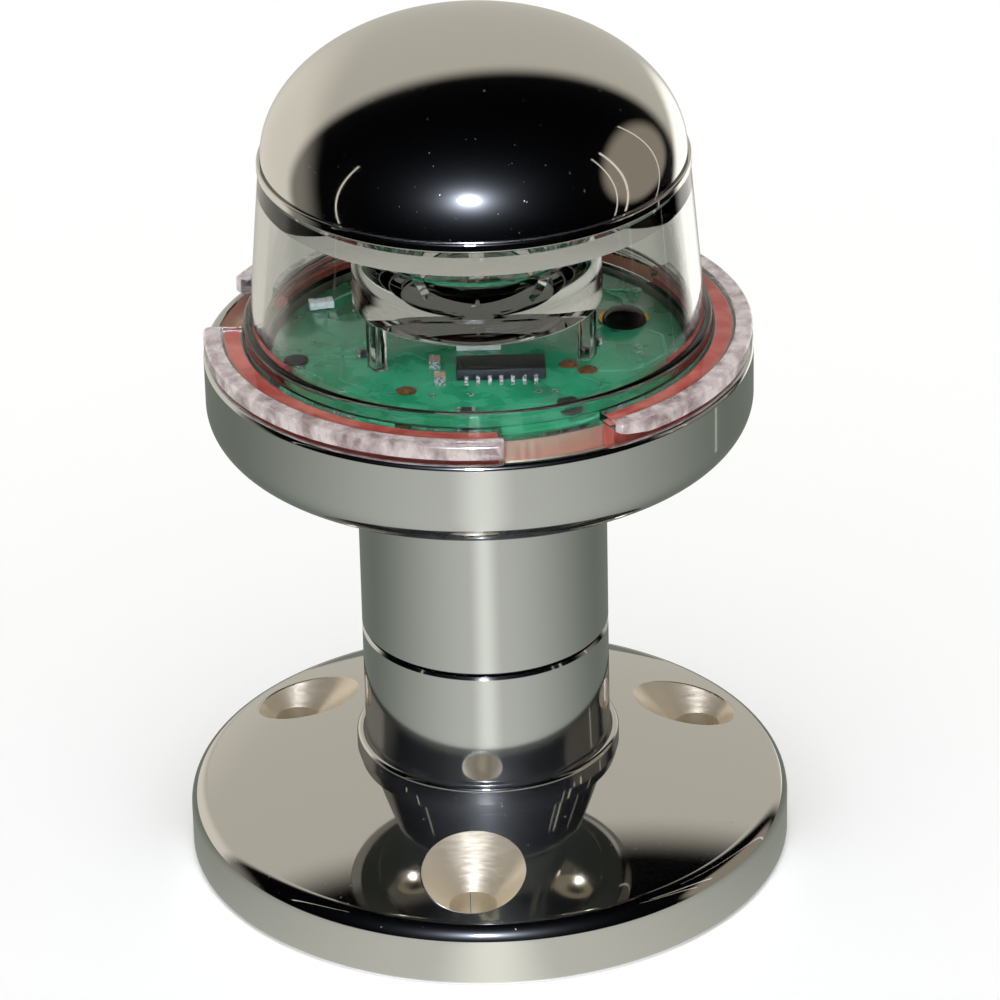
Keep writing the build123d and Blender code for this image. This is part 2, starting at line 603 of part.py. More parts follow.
def make_terminal_block():
    body = block((0, 0), BLOCK_SIZE, BLOCK_Z)
    body = chamfer(body.edges().filter_by(Axis.Z), BLOCK_CHAMFER)
    screw_z = BLOCK_Z + BLOCK_SIZE[2] / 2
    for side in (-1, 1):
        x = side * BLOCK_POLE_SPACING / 2
        body -= Pos(x, 0, 0) * disc(BLOCK_WIRE_RADIUS, BLOCK_Z - 1, BLOCK_Z + BLOCK_SIZE[2] + 1)
        body -= Pos(x, -BLOCK_SIZE[1] / 2, screw_z) * Rot(90, 0, 0) * Cylinder(
            BLOCK_SCREW_RADIUS, 2 * BLOCK_SCREW_LENGTH)
    return body


def make_terminal_screws():
    screws = []
    screw_z = BLOCK_Z + BLOCK_SIZE[2] / 2
    face = -BLOCK_SIZE[1] / 2 - BLOCK_SCREW_PROUD
    for side in (-1, 1):
        shank = Cylinder(BLOCK_SCREW_RADIUS - BLOCK_SCREW_CLEARANCE, BLOCK_SCREW_LENGTH, align=FROM_BELOW)
        shank -= Pos(0, 0, BLOCK_SCREW_LENGTH) * Box(4 * BLOCK_SCREW_RADIUS, BLOCK_SCREW_SLOT, BLOCK_SCREW_SLOT_DEPTH)
        place = (side * BLOCK_POLE_SPACING / 2, face + BLOCK_SCREW_LENGTH, screw_z)
        screws.append(Pos(*place) * Rot(90, 0, 0) * shank)
    return Compound(screws)


def make_lens():
    foot_round = LENS_FOOT_RADIUS - LENS_FOOT_ROUND
    base_inner = LENS_BASE_RADIUS - LENS_WALL
    top_inner = LENS_TOP_RADIUS - LENS_WALL
    neck_inner = LENS_NECK_RADIUS - LENS_NECK_WALL
    skirt_inner = SKIRT_RADIUS - SKIRT_WALL
    neck_top = LENS_SHOULDER + LENS_NECK_HEIGHT
    edge = FLANGE_EDGE_ROUND
    seat_inner = GASKET_INNER_RADIUS - GASKET_SIDE_CLEARANCE
    seat_outer = GASKET_OUTER_RADIUS + GASKET_SIDE_CLEARANCE
    outline = [
        Polyline((skirt_inner, SKIRT_BOTTOM), (SKIRT_RADIUS, SKIRT_BOTTOM), (SKIRT_RADIUS, FLANGE_Z),
                 (seat_inner, FLANGE_Z), (seat_inner, FLANGE_Z + GASKET_REBATE),
                 (seat_outer, FLANGE_Z + GASKET_REBATE), (seat_outer, FLANGE_Z),
                 (FLANGE_RADIUS, FLANGE_Z), (FLANGE_RADIUS, FLANGE_TOP - edge)),
        TangentArc((FLANGE_RADIUS, FLANGE_TOP - edge), (FLANGE_RADIUS - edge, FLANGE_TOP), tangent=(0, 1)),
        Polyline((FLANGE_RADIUS - edge, FLANGE_TOP), (LENS_FOOT_RADIUS, FLANGE_TOP),
                 (LENS_FOOT_RADIUS, LENS_FOOT_TOP - LENS_FOOT_ROUND)),
        TangentArc((LENS_FOOT_RADIUS, LENS_FOOT_TOP - LENS_FOOT_ROUND), (foot_round, LENS_FOOT_TOP),
                   tangent=(0, 1)),
        Polyline((foot_round, LENS_FOOT_TOP), (LENS_BASE_RADIUS, LENS_FOOT_TOP),
                 (LENS_TOP_RADIUS, LENS_SHOULDER), (LENS_NECK_RADIUS, LENS_SHOULDER),
                 (LENS_NECK_RADIUS, neck_top), (neck_inner, neck_top), (neck_inner, LENS_SHOULDER - LENS_WALL),
                 (top_inner, LENS_SHOULDER - 2 * LENS_WALL), (base_inner, LENS_FOOT_TOP),
                 (skirt_inner, FLANGE_Z), (skirt_inner, SKIRT_BOTTOM)),
    ]
    lens = turned(*outline)
    for angle in LUG_ANGLES:
        lens += sector(SKIRT_RADIUS - LUG_ROOT, LUG_RADIUS, LUG_Z, LUG_Z + LUG_HEIGHT, angle, LUG_WIDTH)
    notch_floor = LENS_FOOT_RADIUS + NOTCH_DEPTH_GAP
    for angle in NOTCH_ANGLES:
        lens -= sector(notch_floor, FLANGE_RADIUS + 1, FLANGE_Z - 1, FLANGE_TOP + 1, angle, NOTCH_WIDTH)
        lens -= ramp_cutter(angle + NOTCH_WIDTH / 2)
    return lens


def ramp_cutter(angle):
    """Lifts the underside of the flange where a flange segment starts."""
    run = FLANGE_RADIUS * radians(RAMP_ANGLE)
    slope = degrees(RAMP_RISE / run)
    wedge = Box(FLANGE_RADIUS - LENS_FOOT_RADIUS + 1, 2 * run, 2.0, align=(Align.MIN, Align.CENTER, Align.MAX))
    tilted = Pos(0, run, 0) * Rot(-slope, 0, 0) * Pos(0, -run, 0) * wedge
    return Rot(0, 0, angle) * Pos(LENS_FOOT_RADIUS + NOTCH_DEPTH_GAP, 0, FLANGE_Z) * tilted


def make_lens_gasket():
    low = CHANNEL_FLOOR + GASKET_CLEARANCE
    gasket = tube(GASKET_OUTER_RADIUS, GASKET_INNER_RADIUS, low, FLANGE_Z + GASKET_REBATE)
    for angle in NOTCH_ANGLES:
        gasket -= sector(GASKET_INNER_RADIUS - 1, GASKET_OUTER_RADIUS + 1, low + GASKET_FOOT, FLANGE_TOP,
                         angle, NOTCH_WIDTH + 2 * GASKET_NOTCH_MARGIN)
    return gasket


def make_dome_cap():
    bore = LENS_NECK_RADIUS + CAP_FIT
    seal_radius = LENS_NECK_RADIUS + CAP_SEAL_WIDTH
    seal_top = LENS_SHOULDER + CAP_SEAL_HEIGHT
    neck_top = LENS_SHOULDER + LENS_NECK_HEIGHT + 0.1
    lip_low = CAP_LIP_RADIUS - CAP_LIP_ROUND
    top = CAP_DOME_Z + CAP_RISE
    inside_top = top - CAP_WALL
    outline = [
        Polyline((seal_radius, LENS_SHOULDER), (lip_low, LENS_SHOULDER),
                 (CAP_LIP_RADIUS, LENS_SHOULDER + CAP_LIP_ROUND), (CAP_LIP_RADIUS, CAP_DOME_Z - CAP_LIP_ROUND),
                 (lip_low, CAP_DOME_Z), (CAP_RADIUS, CAP_DOME_Z)),
        quarter_bow((CAP_RADIUS, CAP_DOME_Z), (0, top), (CAP_RADIUS, top)),
        Line((0, top), (0, inside_top)),
        quarter_bow((0, inside_top), (bore, neck_top), (bore, inside_top)),
        Polyline((bore, neck_top), (bore, seal_top), (seal_radius, seal_top), (seal_radius, LENS_SHOULDER)),
    ]
    return turned(*outline)


def make_cap_seal_ring():
    outer = LENS_NECK_RADIUS + CAP_SEAL_WIDTH - CAP_FIT
    inner = LENS_NECK_RADIUS + CAP_FIT
    return tube(outer, inner, LENS_SHOULDER, LENS_SHOULDER + CAP_SEAL_HEIGHT)


parts = {
    "base_flange": make_base_flange(),
    "socket_tube": make_socket_tube(),
    "cable_grommet": make_cable_grommet(),
    "stem_oring": make_stem_oring(),
    "stem_tube": make_stem_tube(),
    "head_pan": make_head_pan(),
    "stem_washer": make_stem_washer(),
    "stem_ring_nut": make_stem_ring_nut(),
    "board_carrier": make_board_carrier(),
    "circuit_board": make_circuit_board(),
    "led_emitter": make_led_emitter(),
    "light_optic": make_light_optic(),
    "driver_chip": make_driver_chip(),
    "driver_chip_pins": make_driver_chip_pins(),
    "chip_capacitors": make_small_parts(CAPACITOR_PLACES, CAPACITOR_SIZE),
    "chip_resistors": make_small_parts(RESISTOR_PLACES, RESISTOR_SIZE),
    "surface_fuse": make_surface_fuse(),
    "resin_drop": make_resin_drop(),
    "drop_pad": make_drop_pad(),
    "solder_joints": make_solder_joints(),
    "lead_red": make_lead(-1, SOLDER_PLACES[0]),
    "lead_black": make_lead(1, SOLDER_PLACES[2]),
    "lead_sleeve": make_lead_sleeve(),
    "terminal_block": make_terminal_block(),
    "terminal_screws": make_terminal_screws(),
    "lens": make_lens(),
    "lens_gasket": make_lens_gasket(),
    "dome_cap": make_dome_cap(),
    "cap_seal_ring": make_cap_seal_ring(),
}

os.makedirs("parts", exist_ok=True)
for name, shape in parts.items():
    shape.label = name
    export_step(shape, os.path.join("parts", name + ".step"))
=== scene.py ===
"""A pedestal navigation light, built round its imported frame: polished base, stem and cup,
clear lens on a red gasket, circuit board and optic inside it, and a polished dome cap."""
from math import atan2, cos, degrees, pi, radians, sin, sqrt
from types import SimpleNamespace

import bpy
import numpy as np
from mathutils import Matrix, Vector


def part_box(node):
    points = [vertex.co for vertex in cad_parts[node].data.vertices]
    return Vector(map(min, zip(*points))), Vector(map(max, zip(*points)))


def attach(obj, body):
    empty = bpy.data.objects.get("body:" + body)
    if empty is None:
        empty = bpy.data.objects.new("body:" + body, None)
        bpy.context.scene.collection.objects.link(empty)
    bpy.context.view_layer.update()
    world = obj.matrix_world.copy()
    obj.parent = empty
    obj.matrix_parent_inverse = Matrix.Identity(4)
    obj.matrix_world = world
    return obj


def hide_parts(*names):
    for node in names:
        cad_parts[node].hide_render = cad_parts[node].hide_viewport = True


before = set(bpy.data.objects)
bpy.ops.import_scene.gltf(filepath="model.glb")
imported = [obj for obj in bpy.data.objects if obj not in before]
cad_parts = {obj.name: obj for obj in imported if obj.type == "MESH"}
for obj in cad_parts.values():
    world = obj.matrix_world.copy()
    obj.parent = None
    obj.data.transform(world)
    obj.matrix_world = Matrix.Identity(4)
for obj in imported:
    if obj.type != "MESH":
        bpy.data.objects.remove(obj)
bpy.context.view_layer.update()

bl_info = {
    "name": "Pedestal Navigation Light",
    "version": (1, 0, 0),
    "blender": (4, 5, 0),
    "location": "View3D > Sidebar > Navigation Light",
    "description": "Builds an all-round pedestal navigation light on its packed frame",
    "category": "Add Mesh",
}

MM = 0.001
FINE = 384      # segments round the big polished rings
MEDIUM = 192    # segments round the rings inside the lens
SMALL = 48      # segments round small round parts
THIRDS = (0, 120, 240)  # degrees: screw holes, notches and lugs come in threes
ON_SURFACE = 0.012  # mm, how near a corner lies to the turned surface that it takes its normal from
FACING = 0.7        # cosine of the widest angle between a face and the turned surface that it belongs to
OVAL_PULL = 0.5523  # how far the handles of a quarter of an oval reach towards its corner


# Sizes

def length(name, millimetres, description):
    """A length that the panel shows."""
    return bpy.props.FloatProperty(name=name, description=description, default=millimetres * MM,
                                   min=0.0, precision=5, unit="LENGTH")


def turn(name, angle, description):
    """An angle that the panel shows, given in degrees."""
    return bpy.props.FloatProperty(name=name, description=description, default=radians(angle), unit="ROTATION")


def tint(name, code, description):
    """A colour that the panel shows, given as an sRGB hex code."""
    return bpy.props.FloatVectorProperty(name=name, description=description, default=linear(code), size=4,
                                         min=0.0, max=1.0, subtype="COLOR")


def linear(code):
    """An sRGB hex code as linear red, green, blue and alpha."""
    shares = [int(code[at:at + 2], 16) / 255 for at in (1, 3, 5)]
    return tuple(s / 12.92 if s <= 0.04045 else ((s + 0.055) / 1.055) ** 2.4 for s in shares) + (1.0,)


def top_of(node):
    """The highest level of a frame node, in millimetres."""
    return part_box(node)[1].z / MM


def foot_of(node):
    """The lowest level of a frame node, in millimetres."""
    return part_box(node)[0].z / MM


def reach_of(node):
    """How far a round frame node reaches from the axis, in millimetres."""
    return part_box(node)[1].x / MM


class NavLightBase(bpy.types.PropertyGroup):
    radius: length("Radius", reach_of("base_flange"), "Radius of the base's foot")
    wall_height: length("Wall height", 5.0, "Height of the straight wall at the edge")
    edge_rise: length("Edge rise", 2.4, "Height of the rounding above the wall")
    edge_inset: length("Edge inset", 1.9, "How far the rounding draws in")
    under_chamfer: length("Foot chamfer", 0.4, "Chamfer round the foot")
    crown_top: length("Crown top", 11.8, "Level where the crown meets the collar")
    crown_bulge: length("Crown bulge", 0.5, "How far the crown rises above a straight cone")
    collar_radius: length("Collar radius", 15.3, "Outer radius of the collar")
    collar_round: length("Collar rounding", 0.6, "Rounding of the collar's top edge")
    floor: length("Floor", 4.0, "Thickness of the floor inside the collar")
    grommet_neck: length("Grommet hole", 4.6, "Radius of the hole for the grommet")
    grommet_recess: length("Grommet recess", 6.6, "Radius of the recess under the floor")
    grommet_depth: length("Grommet recess depth", 1.4, "Depth of that recess")
    screw_circle: length("Screw circle", 27.6, "Distance of the screw holes from the axis")
    screw_hole: length("Screw hole", 2.75, "Radius of the screw holes")
    screw_mouth: length("Screw mouth", 5.9, "Radius of the countersunk mouths")
    mouth_round: length("Mouth rounding", 0.5, "Rounding of the mouth's edge")
    first_screw: turn("First screw", -94.5, "Angle of the front screw hole")


class NavLightStem(bpy.types.PropertyGroup):
    radius: length("Radius", reach_of("stem_tube"), "Outer radius of stem and socket")
    socket_bore: length("Socket bore", 11.5, "Inner radius of the socket")
    seam_chamfer: length("Seam chamfer", 0.3, "Chamfer on both sides of the seam")
    seam_gap: length("Seam gap", 0.3, "Gap between socket and stem")
    bore: length("Stem bore", 9.4, "Inner radius of the stem")
    spigot_clearance: length("Spigot clearance", 0.06, "Play of the spigot in the socket")
    pan_level: length("Cup level", foot_of("head_pan"), "Level of the stem's shoulder under the cup")
    nose: length("Nose radius", 12.0, "Radius of the nose that passes through the cup")
    pilot: length("Pilot length", 1.5, "Plain length below the thread")
    thread_depth: length("Thread depth", 0.6, "How deep the thread is cut")
    thread_pitch: length("Thread pitch", 1.5, "Rise of the thread in one turn")
    groove_width: length("Groove width", 1.6, "Width of the sealing ring's groove")
    groove_drop: length("Groove drop", 1.0, "How far the groove lies below the seam")
    groove_floor: length("Groove floor", 10.2, "Radius of the groove's floor")


class NavLightPan(bpy.types.PropertyGroup):
    radius: length("Radius", reach_of("head_pan"), "Outer radius of the cup")
    height: length("Height", 12.9, "Height of the cup to its rim")
    lip_radius: length("Lip radius", 22.8, "Radius of the flat lip under the cup")
    lip_height: length("Lip height", 1.0, "Height of that lip")
    bowl_height: length("Bowl height", 5.9, "Height of the curve above the lip")
    floor: length("Floor", 2.6, "Thickness of the cup's floor")
    rim_width: length("Rim width", 1.2, "Thickness of the rim")
    rim_round: length("Rim rounding", 0.55, "Rounding of the rim's outer edge")
    channel_depth: length("Channel depth", 2.5, "Depth of the gasket's channel")
    ring_radius: length("Ring radius", 26.3, "Outer radius of the ring inside the channel")
    bore: length("Bore", 24.87, "Radius of the bore that takes the lens skirt")
    way_radius: length("Lug way", 25.75, "Radius of the groove for the bayonet lugs")
    way_entry: turn("Lug entry", 13.4, "Width of the lugs' way in")
    recess_depth: length("Recess depth", 0.45, "Depth of the rough recesses in the lip")
    recess_margin: length("Recess margin", 0.12, "Plain edge above and below a recess")


class NavLightLens(bpy.types.PropertyGroup):
    flange_radius: length("Flange radius", reach_of("lens"), "Outer radius of the flange")
    flange_level: length("Flange level", 64.2, "Level of the flange's underside")
    flange: length("Flange thickness", 1.7, "Thickness of the flange")
    flange_round: length("Flange rounding", 0.35, "Rounding of the flange's top edge")
    end_round: length("Flange end rounding", 1.0, "Rounding of the outer corners where the flange is cut")
    foot_radius: length("Foot radius", 26.4, "Radius of the ring above the flange")
    foot_height: length("Foot height", 1.6, "Height of that ring")
    foot_round: length("Foot rounding", 0.6, "Rounding of its top edge")
    base_radius: length("Lower radius", 25.6, "Radius of the wall's foot")
    top_radius: length("Upper radius", 24.0, "Radius of the wall's top")
    cone_height: length("Wall height", 18.1, "Height of the sloped wall")
    wall: length("Wall", 1.6, "Thickness of the wall")
    neck_radius: length("Neck radius", 22.3, "Radius of the neck inside the cap")
    neck_height: length("Neck height", 3.2, "Height of the neck")
    neck_wall: length("Neck wall", 1.5, "Thickness of the neck")
    skirt_radius: length("Skirt radius", 24.75, "Radius of the skirt in the cup")
    skirt_wall: length("Skirt wall", 1.0, "Thickness of the skirt")
    skirt_depth: length("Skirt depth", 5.8, "Depth of the skirt below the flange")
    rebate: length("Gasket rebate", 0.7, "Depth of the rebate over the gasket")
    gasket_inner: length("Gasket inner radius", 26.65, "Inner radius of the gasket")
    gasket_outer: length("Gasket outer radius", 28.65, "Outer radius of the gasket")
    gasket_foot: length("Gasket foot", 0.5, "Thickness of the gasket under the notches")
    gasket_level: length("Gasket level", foot_of("lens_gasket"), "Level of the gasket's underside")
    rub_and_highlight_margin: length("Rubbed band", 0.35, "Where the flange's rubbed band starts, outside the gasket")
    # the flange's outer band is partly worn and partly painted highlight
    lug_reach: length("Lug reach", 0.85, "How far the bayonet lugs stand out")
    lug_height: length("Lug height", 1.1, "Height of the lugs")
    lug_width: turn("Lug width", 12.0, "Width of the lugs round the skirt")
    first_notch: turn("First notch", -73.0, "Angle of the front notch in the flange")
    notch_width: turn("Notch width", 24.5, "Width of each notch")
    twist: turn("Twist", 24.0, "Turn that locks the lugs")
    ramp_angle: turn("Ramp angle", 8.0, "Length of the lead-in under a flange end")
    ramp_rise: length("Ramp rise", 0.7, "Rise of that lead-in")


class NavLightCap(bpy.types.PropertyGroup):
    lip_radius: length("Lip radius", reach_of("dome_cap"), "Radius of the lip round the dome")
    lip_height: length("Lip height", 1.1, "Height of that lip")
    lip_round: length("Lip chamfer", 0.25, "Chamfer of its edges")
    radius: length("Dome radius", 23.75, "Radius of the dome's foot")
    wall: length("Wall", 1.2, "Thickness of the dome")
    seal_width: length("Seal width", 0.9, "Width of the seal under the cap")


class NavLightBoard(bpy.types.PropertyGroup):
    radius: length("Radius", reach_of("circuit_board"), "Radius of the circuit board")
    thickness: length("Thickness", 1.6, "Thickness of the circuit board")
    edge: length("Edge", 0.15, "Broken edge of the board")
    post_circle: length("Post circle", 20.6, "Distance of the moulded posts from the axis")
    post_hole: length("Post hole", 1.15, "Radius of the holes for the posts")
    via_radius: length("Via radius", 0.35, "Radius of the plated holes")
    track_width: length("Track width", 0.42, "Width of the copper tracks under the solder resist")
    track_height: length("Track height", 0.05, "Height of the tracks above the board")
    resist: tint("Solder resist", "#0f7a4d", "Colour of the solder resist")
    resist_light: tint("Thin solder resist", "#4da57c", "Colour where the resist is thin")


class NavLightOptic(bpy.types.PropertyGroup):
    radius: length("Radius", reach_of("light_optic"), "Outer radius of the optic")
    level: length("Level", 70.0, "Level of the ring's underside")
    height: length("Ring height", 6.4, "Height of the ring")
    shoulder: length("Shoulder rounding", 2.8, "Rounding of the ring's shoulder")
    step_width: length("Step width", 1.6, "Width of each step in the funnel")
    web: length("Web", 1.3, "Thickness of the funnel's floor")
    leg_width: length("Leg width", 2.2, "Width of the legs")
    leg_depth: length("Leg depth", 1.5, "Depth of the legs")
    steps: bpy.props.IntProperty(name="Steps", description="Number of steps in the funnel", default=4, min=1, max=8)


class NavLightStage(bpy.types.PropertyGroup):
    floor: tint("Floor", "#fbfbfa", "Colour of the floor")
    # painted light: the sheet's brighter colour in front of the light, where the lamp lights it, as the metal sees it
    sheet: tint("Sheet", "#a4a5a1", "Colour of the sheet under the light, as the metal sees it")
    sheet_radius: length("Sheet radius", 165.0, "Radius of that sheet")
    focal: bpy.props.FloatProperty(name="Focal length", description="Focal length of the camera, in mm", default=193.93)
    distance: length("Camera distance", 546.02, "How far the camera stands in front of the light")
    camera_height: length("Camera height", 329.56, "How high the camera stands")
    camera_pitch: turn("Camera pitch", 27.675, "How far the camera looks down")
    camera_yaw: turn("Camera yaw", 0.2115, "How far the camera is turned to the right")
    camera_roll: turn("Camera roll", -1.326, "How far the camera leans")


GROUPS = {"navlight_base": NavLightBase, "navlight_stem": NavLightStem, "navlight_pan": NavLightPan,
          "navlight_lens": NavLightLens, "navlight_cap": NavLightCap, "navlight_board": NavLightBoard,
          "navlight_optic": NavLightOptic, "navlight_stage": NavLightStage}


def sizes(group):
    """A group's lengths in millimetres and its angles in degrees, by name."""
    settings = getattr(bpy.context.scene, group)
    found = {}
    for prop in settings.bl_rna.properties:
        if prop.identifier in ("rna_type", "name"):
            continue
        value = getattr(settings, prop.identifier)
        if prop.type == "FLOAT" and prop.unit == "LENGTH":
            value = value / MM
        elif prop.type == "FLOAT" and prop.unit == "ROTATION":
            value = degrees(value)
        elif prop.subtype == "COLOR":
            value = tuple(value)
        found[prop.identifier] = value
    return SimpleNamespace(**found)


# Turned shapes with exact normals

class Outline:
    """An outline in radius and height, in millimetres, with the solid on its left as it runs."""

    def __init__(self):
        self.runs = []

    def line(self, *points, zone=0):
        for start, end in zip(points, points[1:]):
            step = np.subtract(end, start)
            normal = np.array((step[1], -step[0])) / np.hypot(*step)
            self.runs.append((np.array((start, end), float), np.array((normal, normal)), zone))
        return self

    def arc(self, centre, radius, start, end, steps=8, zone=0):
        """An arc between two angles in degrees; it bulges outwards when the angle grows."""
        angles = np.radians(np.linspace(start, end, steps + 1))
        out = np.stack((np.cos(angles), np.sin(angles)), 1)
        normals = out if end > start else -out
        self.runs.append((np.array(centre) + radius * out, normals, zone))
        return self

    def bow(self, start, end, corner, steps, zone=0):
        """A quarter of an oval that leaves its start and reaches its end along the lines to the corner."""
        p0, p3, c = (np.array(p, float) for p in (start, end, corner))
        p1, p2 = p0 + OVAL_PULL * (c - p0), p3 + OVAL_PULL * (c - p3)
        t = np.linspace(0, 1, steps + 1)[:, None]
        points = p0 * (1 - t) ** 3 + 3 * p1 * t * (1 - t) ** 2 + 3 * p2 * t * t * (1 - t) + p3 * t ** 3
        slope = 3 * ((p1 - p0) * (1 - t) ** 2 + 2 * (p2 - p1) * t * (1 - t) + (p3 - p2) * t * t)
        slope /= np.linalg.norm(slope, axis=1)[:, None]
        self.runs.append((points, np.stack((slope[:, 1], -slope[:, 0]), 1), zone))
        return self

    def through(self, start, middle, end, steps, zone=0):
        """An arc through three points."""
        (ax, ay), (bx, by), (cx, cy) = start, middle, end
        d = 2 * (ax * (by - cy) + bx * (cy - ay) + cx * (ay - by))
        sa, sb, sc = ax * ax + ay * ay, bx * bx + by * by, cx * cx + cy * cy
        centre = ((sa * (by - cy) + sb * (cy - ay) + sc * (ay - by)) / d,
                  (sa * (cx - bx) + sb * (ax - cx) + sc * (bx - ax)) / d)
        first = degrees(atan2(ay - centre[1], ax - centre[0]))
        last = degrees(atan2(cy - centre[1], cx - centre[0]))
        last += 360 * round((first - last) / 360)
        return self.arc(centre, sqrt((ax - centre[0]) ** 2 + (ay - centre[1]) ** 2), first, last, steps, zone)

    def soft(self, points, radius, steps=5, zone=0):
        """Straight runs between points, with their inner corners rounded."""
        points = [np.array(p, float) for p in points]
        at = points[0]
        for corner, after in zip(points[1:-1], points[2:]):
            a, b = corner - at, after - corner
            reach_a, reach_b = np.hypot(*a), np.hypot(*b)
            a, b = a / reach_a, b / reach_b
            bend = atan2(a[0] * b[1] - a[1] * b[0], a @ b)
            if abs(bend) < 1e-6:
                continue
            spread = abs(sin(bend / 2) / cos(bend / 2))
            tangent = min(radius * spread, 0.45 * reach_a, 0.45 * reach_b)
            round_by = tangent / max(spread, 1e-6)
            start = corner - a * tangent
            self.line(at, start, zone=zone)
            side = 1.0 if bend > 0 else -1.0
            first = np.array((a[1], -a[0]))
            centre = start - side * round_by * first
            turns = np.linspace(0, bend, steps + 1)
            normals = np.stack((first[0] * np.cos(turns) - first[1] * np.sin(turns),
                                first[0] * np.sin(turns) + first[1] * np.cos(turns)), 1)
            self.runs.append((centre + side * round_by * normals, normals, zone))
            at = corner + b * tangent
        return self.line(at, points[-1], zone=zone)


def turned(name, outline, segments=FINE):
    """Spins a closed outline round the axis into a mesh, in metres, with the outline's own normals."""
    rings, corners, faces, normals, zones = {}, [], [], [], []
    angles = np.linspace(0, 2 * pi, segments, endpoint=False)
    ring_x, ring_y = np.cos(angles), np.sin(angles)

    def ring(point):
        key = (round(float(point[0]), 4), round(float(point[1]), 4))
        if key not in rings:
            on_axis = key[0] < 1e-4
            rings[key] = (len(corners), on_axis)
            if on_axis:
                corners.append((0.0, 0.0, point[1]))
            else:
                corners.extend(zip(point[0] * ring_x, point[0] * ring_y, [point[1]] * segments))
        return rings[key]

    for points, runs_normals, zone in outline.runs:
        for low, high, low_normal, high_normal in zip(points, points[1:], runs_normals, runs_normals[1:]):
            (first, low_pole), (second, high_pole) = ring(low), ring(high)
            if first == second or (low_pole and high_pole):
                continue
            for at in range(segments):
                after = (at + 1) % segments
                a, b = (ring_x[at], ring_y[at]), (ring_x[after], ring_y[after])
                low_a, low_b = (first, first) if low_pole else (first + at, first + after)
                high_a, high_b = (second, second) if high_pole else (second + at, second + after)
                loop = [(low_a, a, low_normal), (low_b, b, low_normal), (high_b, b, high_normal),
                        (high_a, a, high_normal)]
                if low_pole:
                    loop.pop(0)
                if high_pole:
                    loop.pop(3)
                faces.append([corner for corner, _, _ in loop])
                normals.extend((n[0] * way[0], n[0] * way[1], n[1]) for _, way, n in loop)
                zones.append(zone)
    mesh = bpy.data.meshes.new(name)
    mesh.from_pydata([tuple(c * MM for c in corner) for corner in corners], [], faces)
    mesh.polygons.foreach_set("use_smooth", [True] * len(faces))
    mesh.polygons.foreach_set("material_index", zones)
    mesh.normals_split_custom_set(normals)
    return mesh


class Surface:
    """A turned surface, known by its outline and axis, that a cut mesh takes its normals from."""

    def __init__(self, outline, place=(0.0, 0.0)):
        self.outline, self.place = outline, np.array(place)

    def read(self, points):
        """For each run of the outline: how far off it each point lies, in mm, and the surface's normal there."""
        flat = points[:, :2] - self.place
        radius = np.linalg.norm(flat, axis=1)
        way = flat / np.maximum(radius, 1e-9)[:, None]
        place = np.stack((radius, points[:, 2]), 1)
        for run, run_normals, _ in self.outline.runs:
            best = np.full(len(points), np.inf)
            normal = np.zeros((len(points), 2))
            for start, end, first, last in zip(run, run[1:], run_normals, run_normals[1:]):
                step = end - start
                share = np.clip(((place - start) @ step) / (step @ step), 0, 1)
                off = np.linalg.norm(place - start - share[:, None] * step, axis=1)
                nearer = off < best
                best = np.where(nearer, off, best)
                blend = first + share[:, None] * (last - first)
                normal[nearer] = blend[nearer]
            normal /= np.maximum(np.linalg.norm(normal, axis=1), 1e-9)[:, None]
            whole = np.stack((way[:, 0] * normal[:, 0], way[:, 1] * normal[:, 0], normal[:, 1]), 1)
            yield best, whole


def dress(mesh, *surfaces):
    """Gives each corner of a cut mesh the normal of the turned surface that its face lies on."""
    points = np.array([v.co for v in mesh.vertices]) / MM
    loop_corner = np.array([loop.vertex_index for loop in mesh.loops])
    loop_face = np.repeat(np.arange(len(mesh.polygons)), [p.loop_total for p in mesh.polygons])
    face_normal = np.array([p.normal for p in mesh.polygons])
    normals = face_normal[loop_face].copy()
    nearest = np.full(len(mesh.polygons), ON_SURFACE)
    for surface in surfaces:
        for off, way in surface.read(points):
            worst = np.zeros(len(mesh.polygons))
            np.maximum.at(worst, loop_face, off[loop_corner])
            facing = np.full(len(mesh.polygons), 1.0)
            np.minimum.at(facing, loop_face, (way[loop_corner] * face_normal[loop_face]).sum(1))
            won = (worst < nearest) & (facing > FACING)
            nearest = np.where(won, worst, nearest)
            chosen = won[loop_face]
            normals[chosen] = way[loop_corner][chosen]
    mesh.polygons.foreach_set("use_smooth", [True] * len(mesh.polygons))
    mesh.normals_split_custom_set(normals.tolist())


def sector(inner, outer, low, high, middle, width, corner=0.0, steps=24):
    """A block of a ring between two radii and two levels, with rounded outer corners if asked; a closed mesh."""
    half = width / 2
    plan = []
    if corner:
        # the cut flares out where it meets the outer radius, so the flange that stays has round corners
        wide = half + degrees((corner + 0.6) / outer)
        soft = [(outer - corner * (1 - sin(a)), half + degrees(corner * (1 - cos(a)) / outer))
                for a in np.linspace(0, pi / 2, 7)]
        # the outer side is a straight chord, so it lies far enough out to leave no sliver in the notch's middle
        plan += [(inner, -half)] + [(r, -a) for r, a in soft] + [(outer + 3, -wide)]
        plan += [(outer + 3, wide)] + [(r, a) for r, a in reversed(soft)] + [(inner, half)]
    else:
        plan += [(inner, -half)] + [(outer, -half + width * i / steps) for i in range(steps + 1)] + [(inner, half)]
    plan += [(inner, half - width * i / steps) for i in range(1, steps)]
    flat = [(r * cos(radians(middle + a)), r * sin(radians(middle + a))) for r, a in plan]
    count = len(flat)
    corners = [(x * MM, y * MM, z * MM) for z in (low, high) for x, y in flat]
    faces = [list(range(count - 1, -1, -1)), list(range(count, 2 * count))]
    faces += [[i, (i + 1) % count, count + (i + 1) % count, count + i] for i in range(count)]
    mesh = bpy.data.meshes.new("sector")
    mesh.from_pydata(corners, [], faces)
    return mesh


def linked(name, data):
    """A new object in the scene."""
    made = bpy.data.objects.new(name, data)
    bpy.context.scene.collection.objects.link(made)
    return made


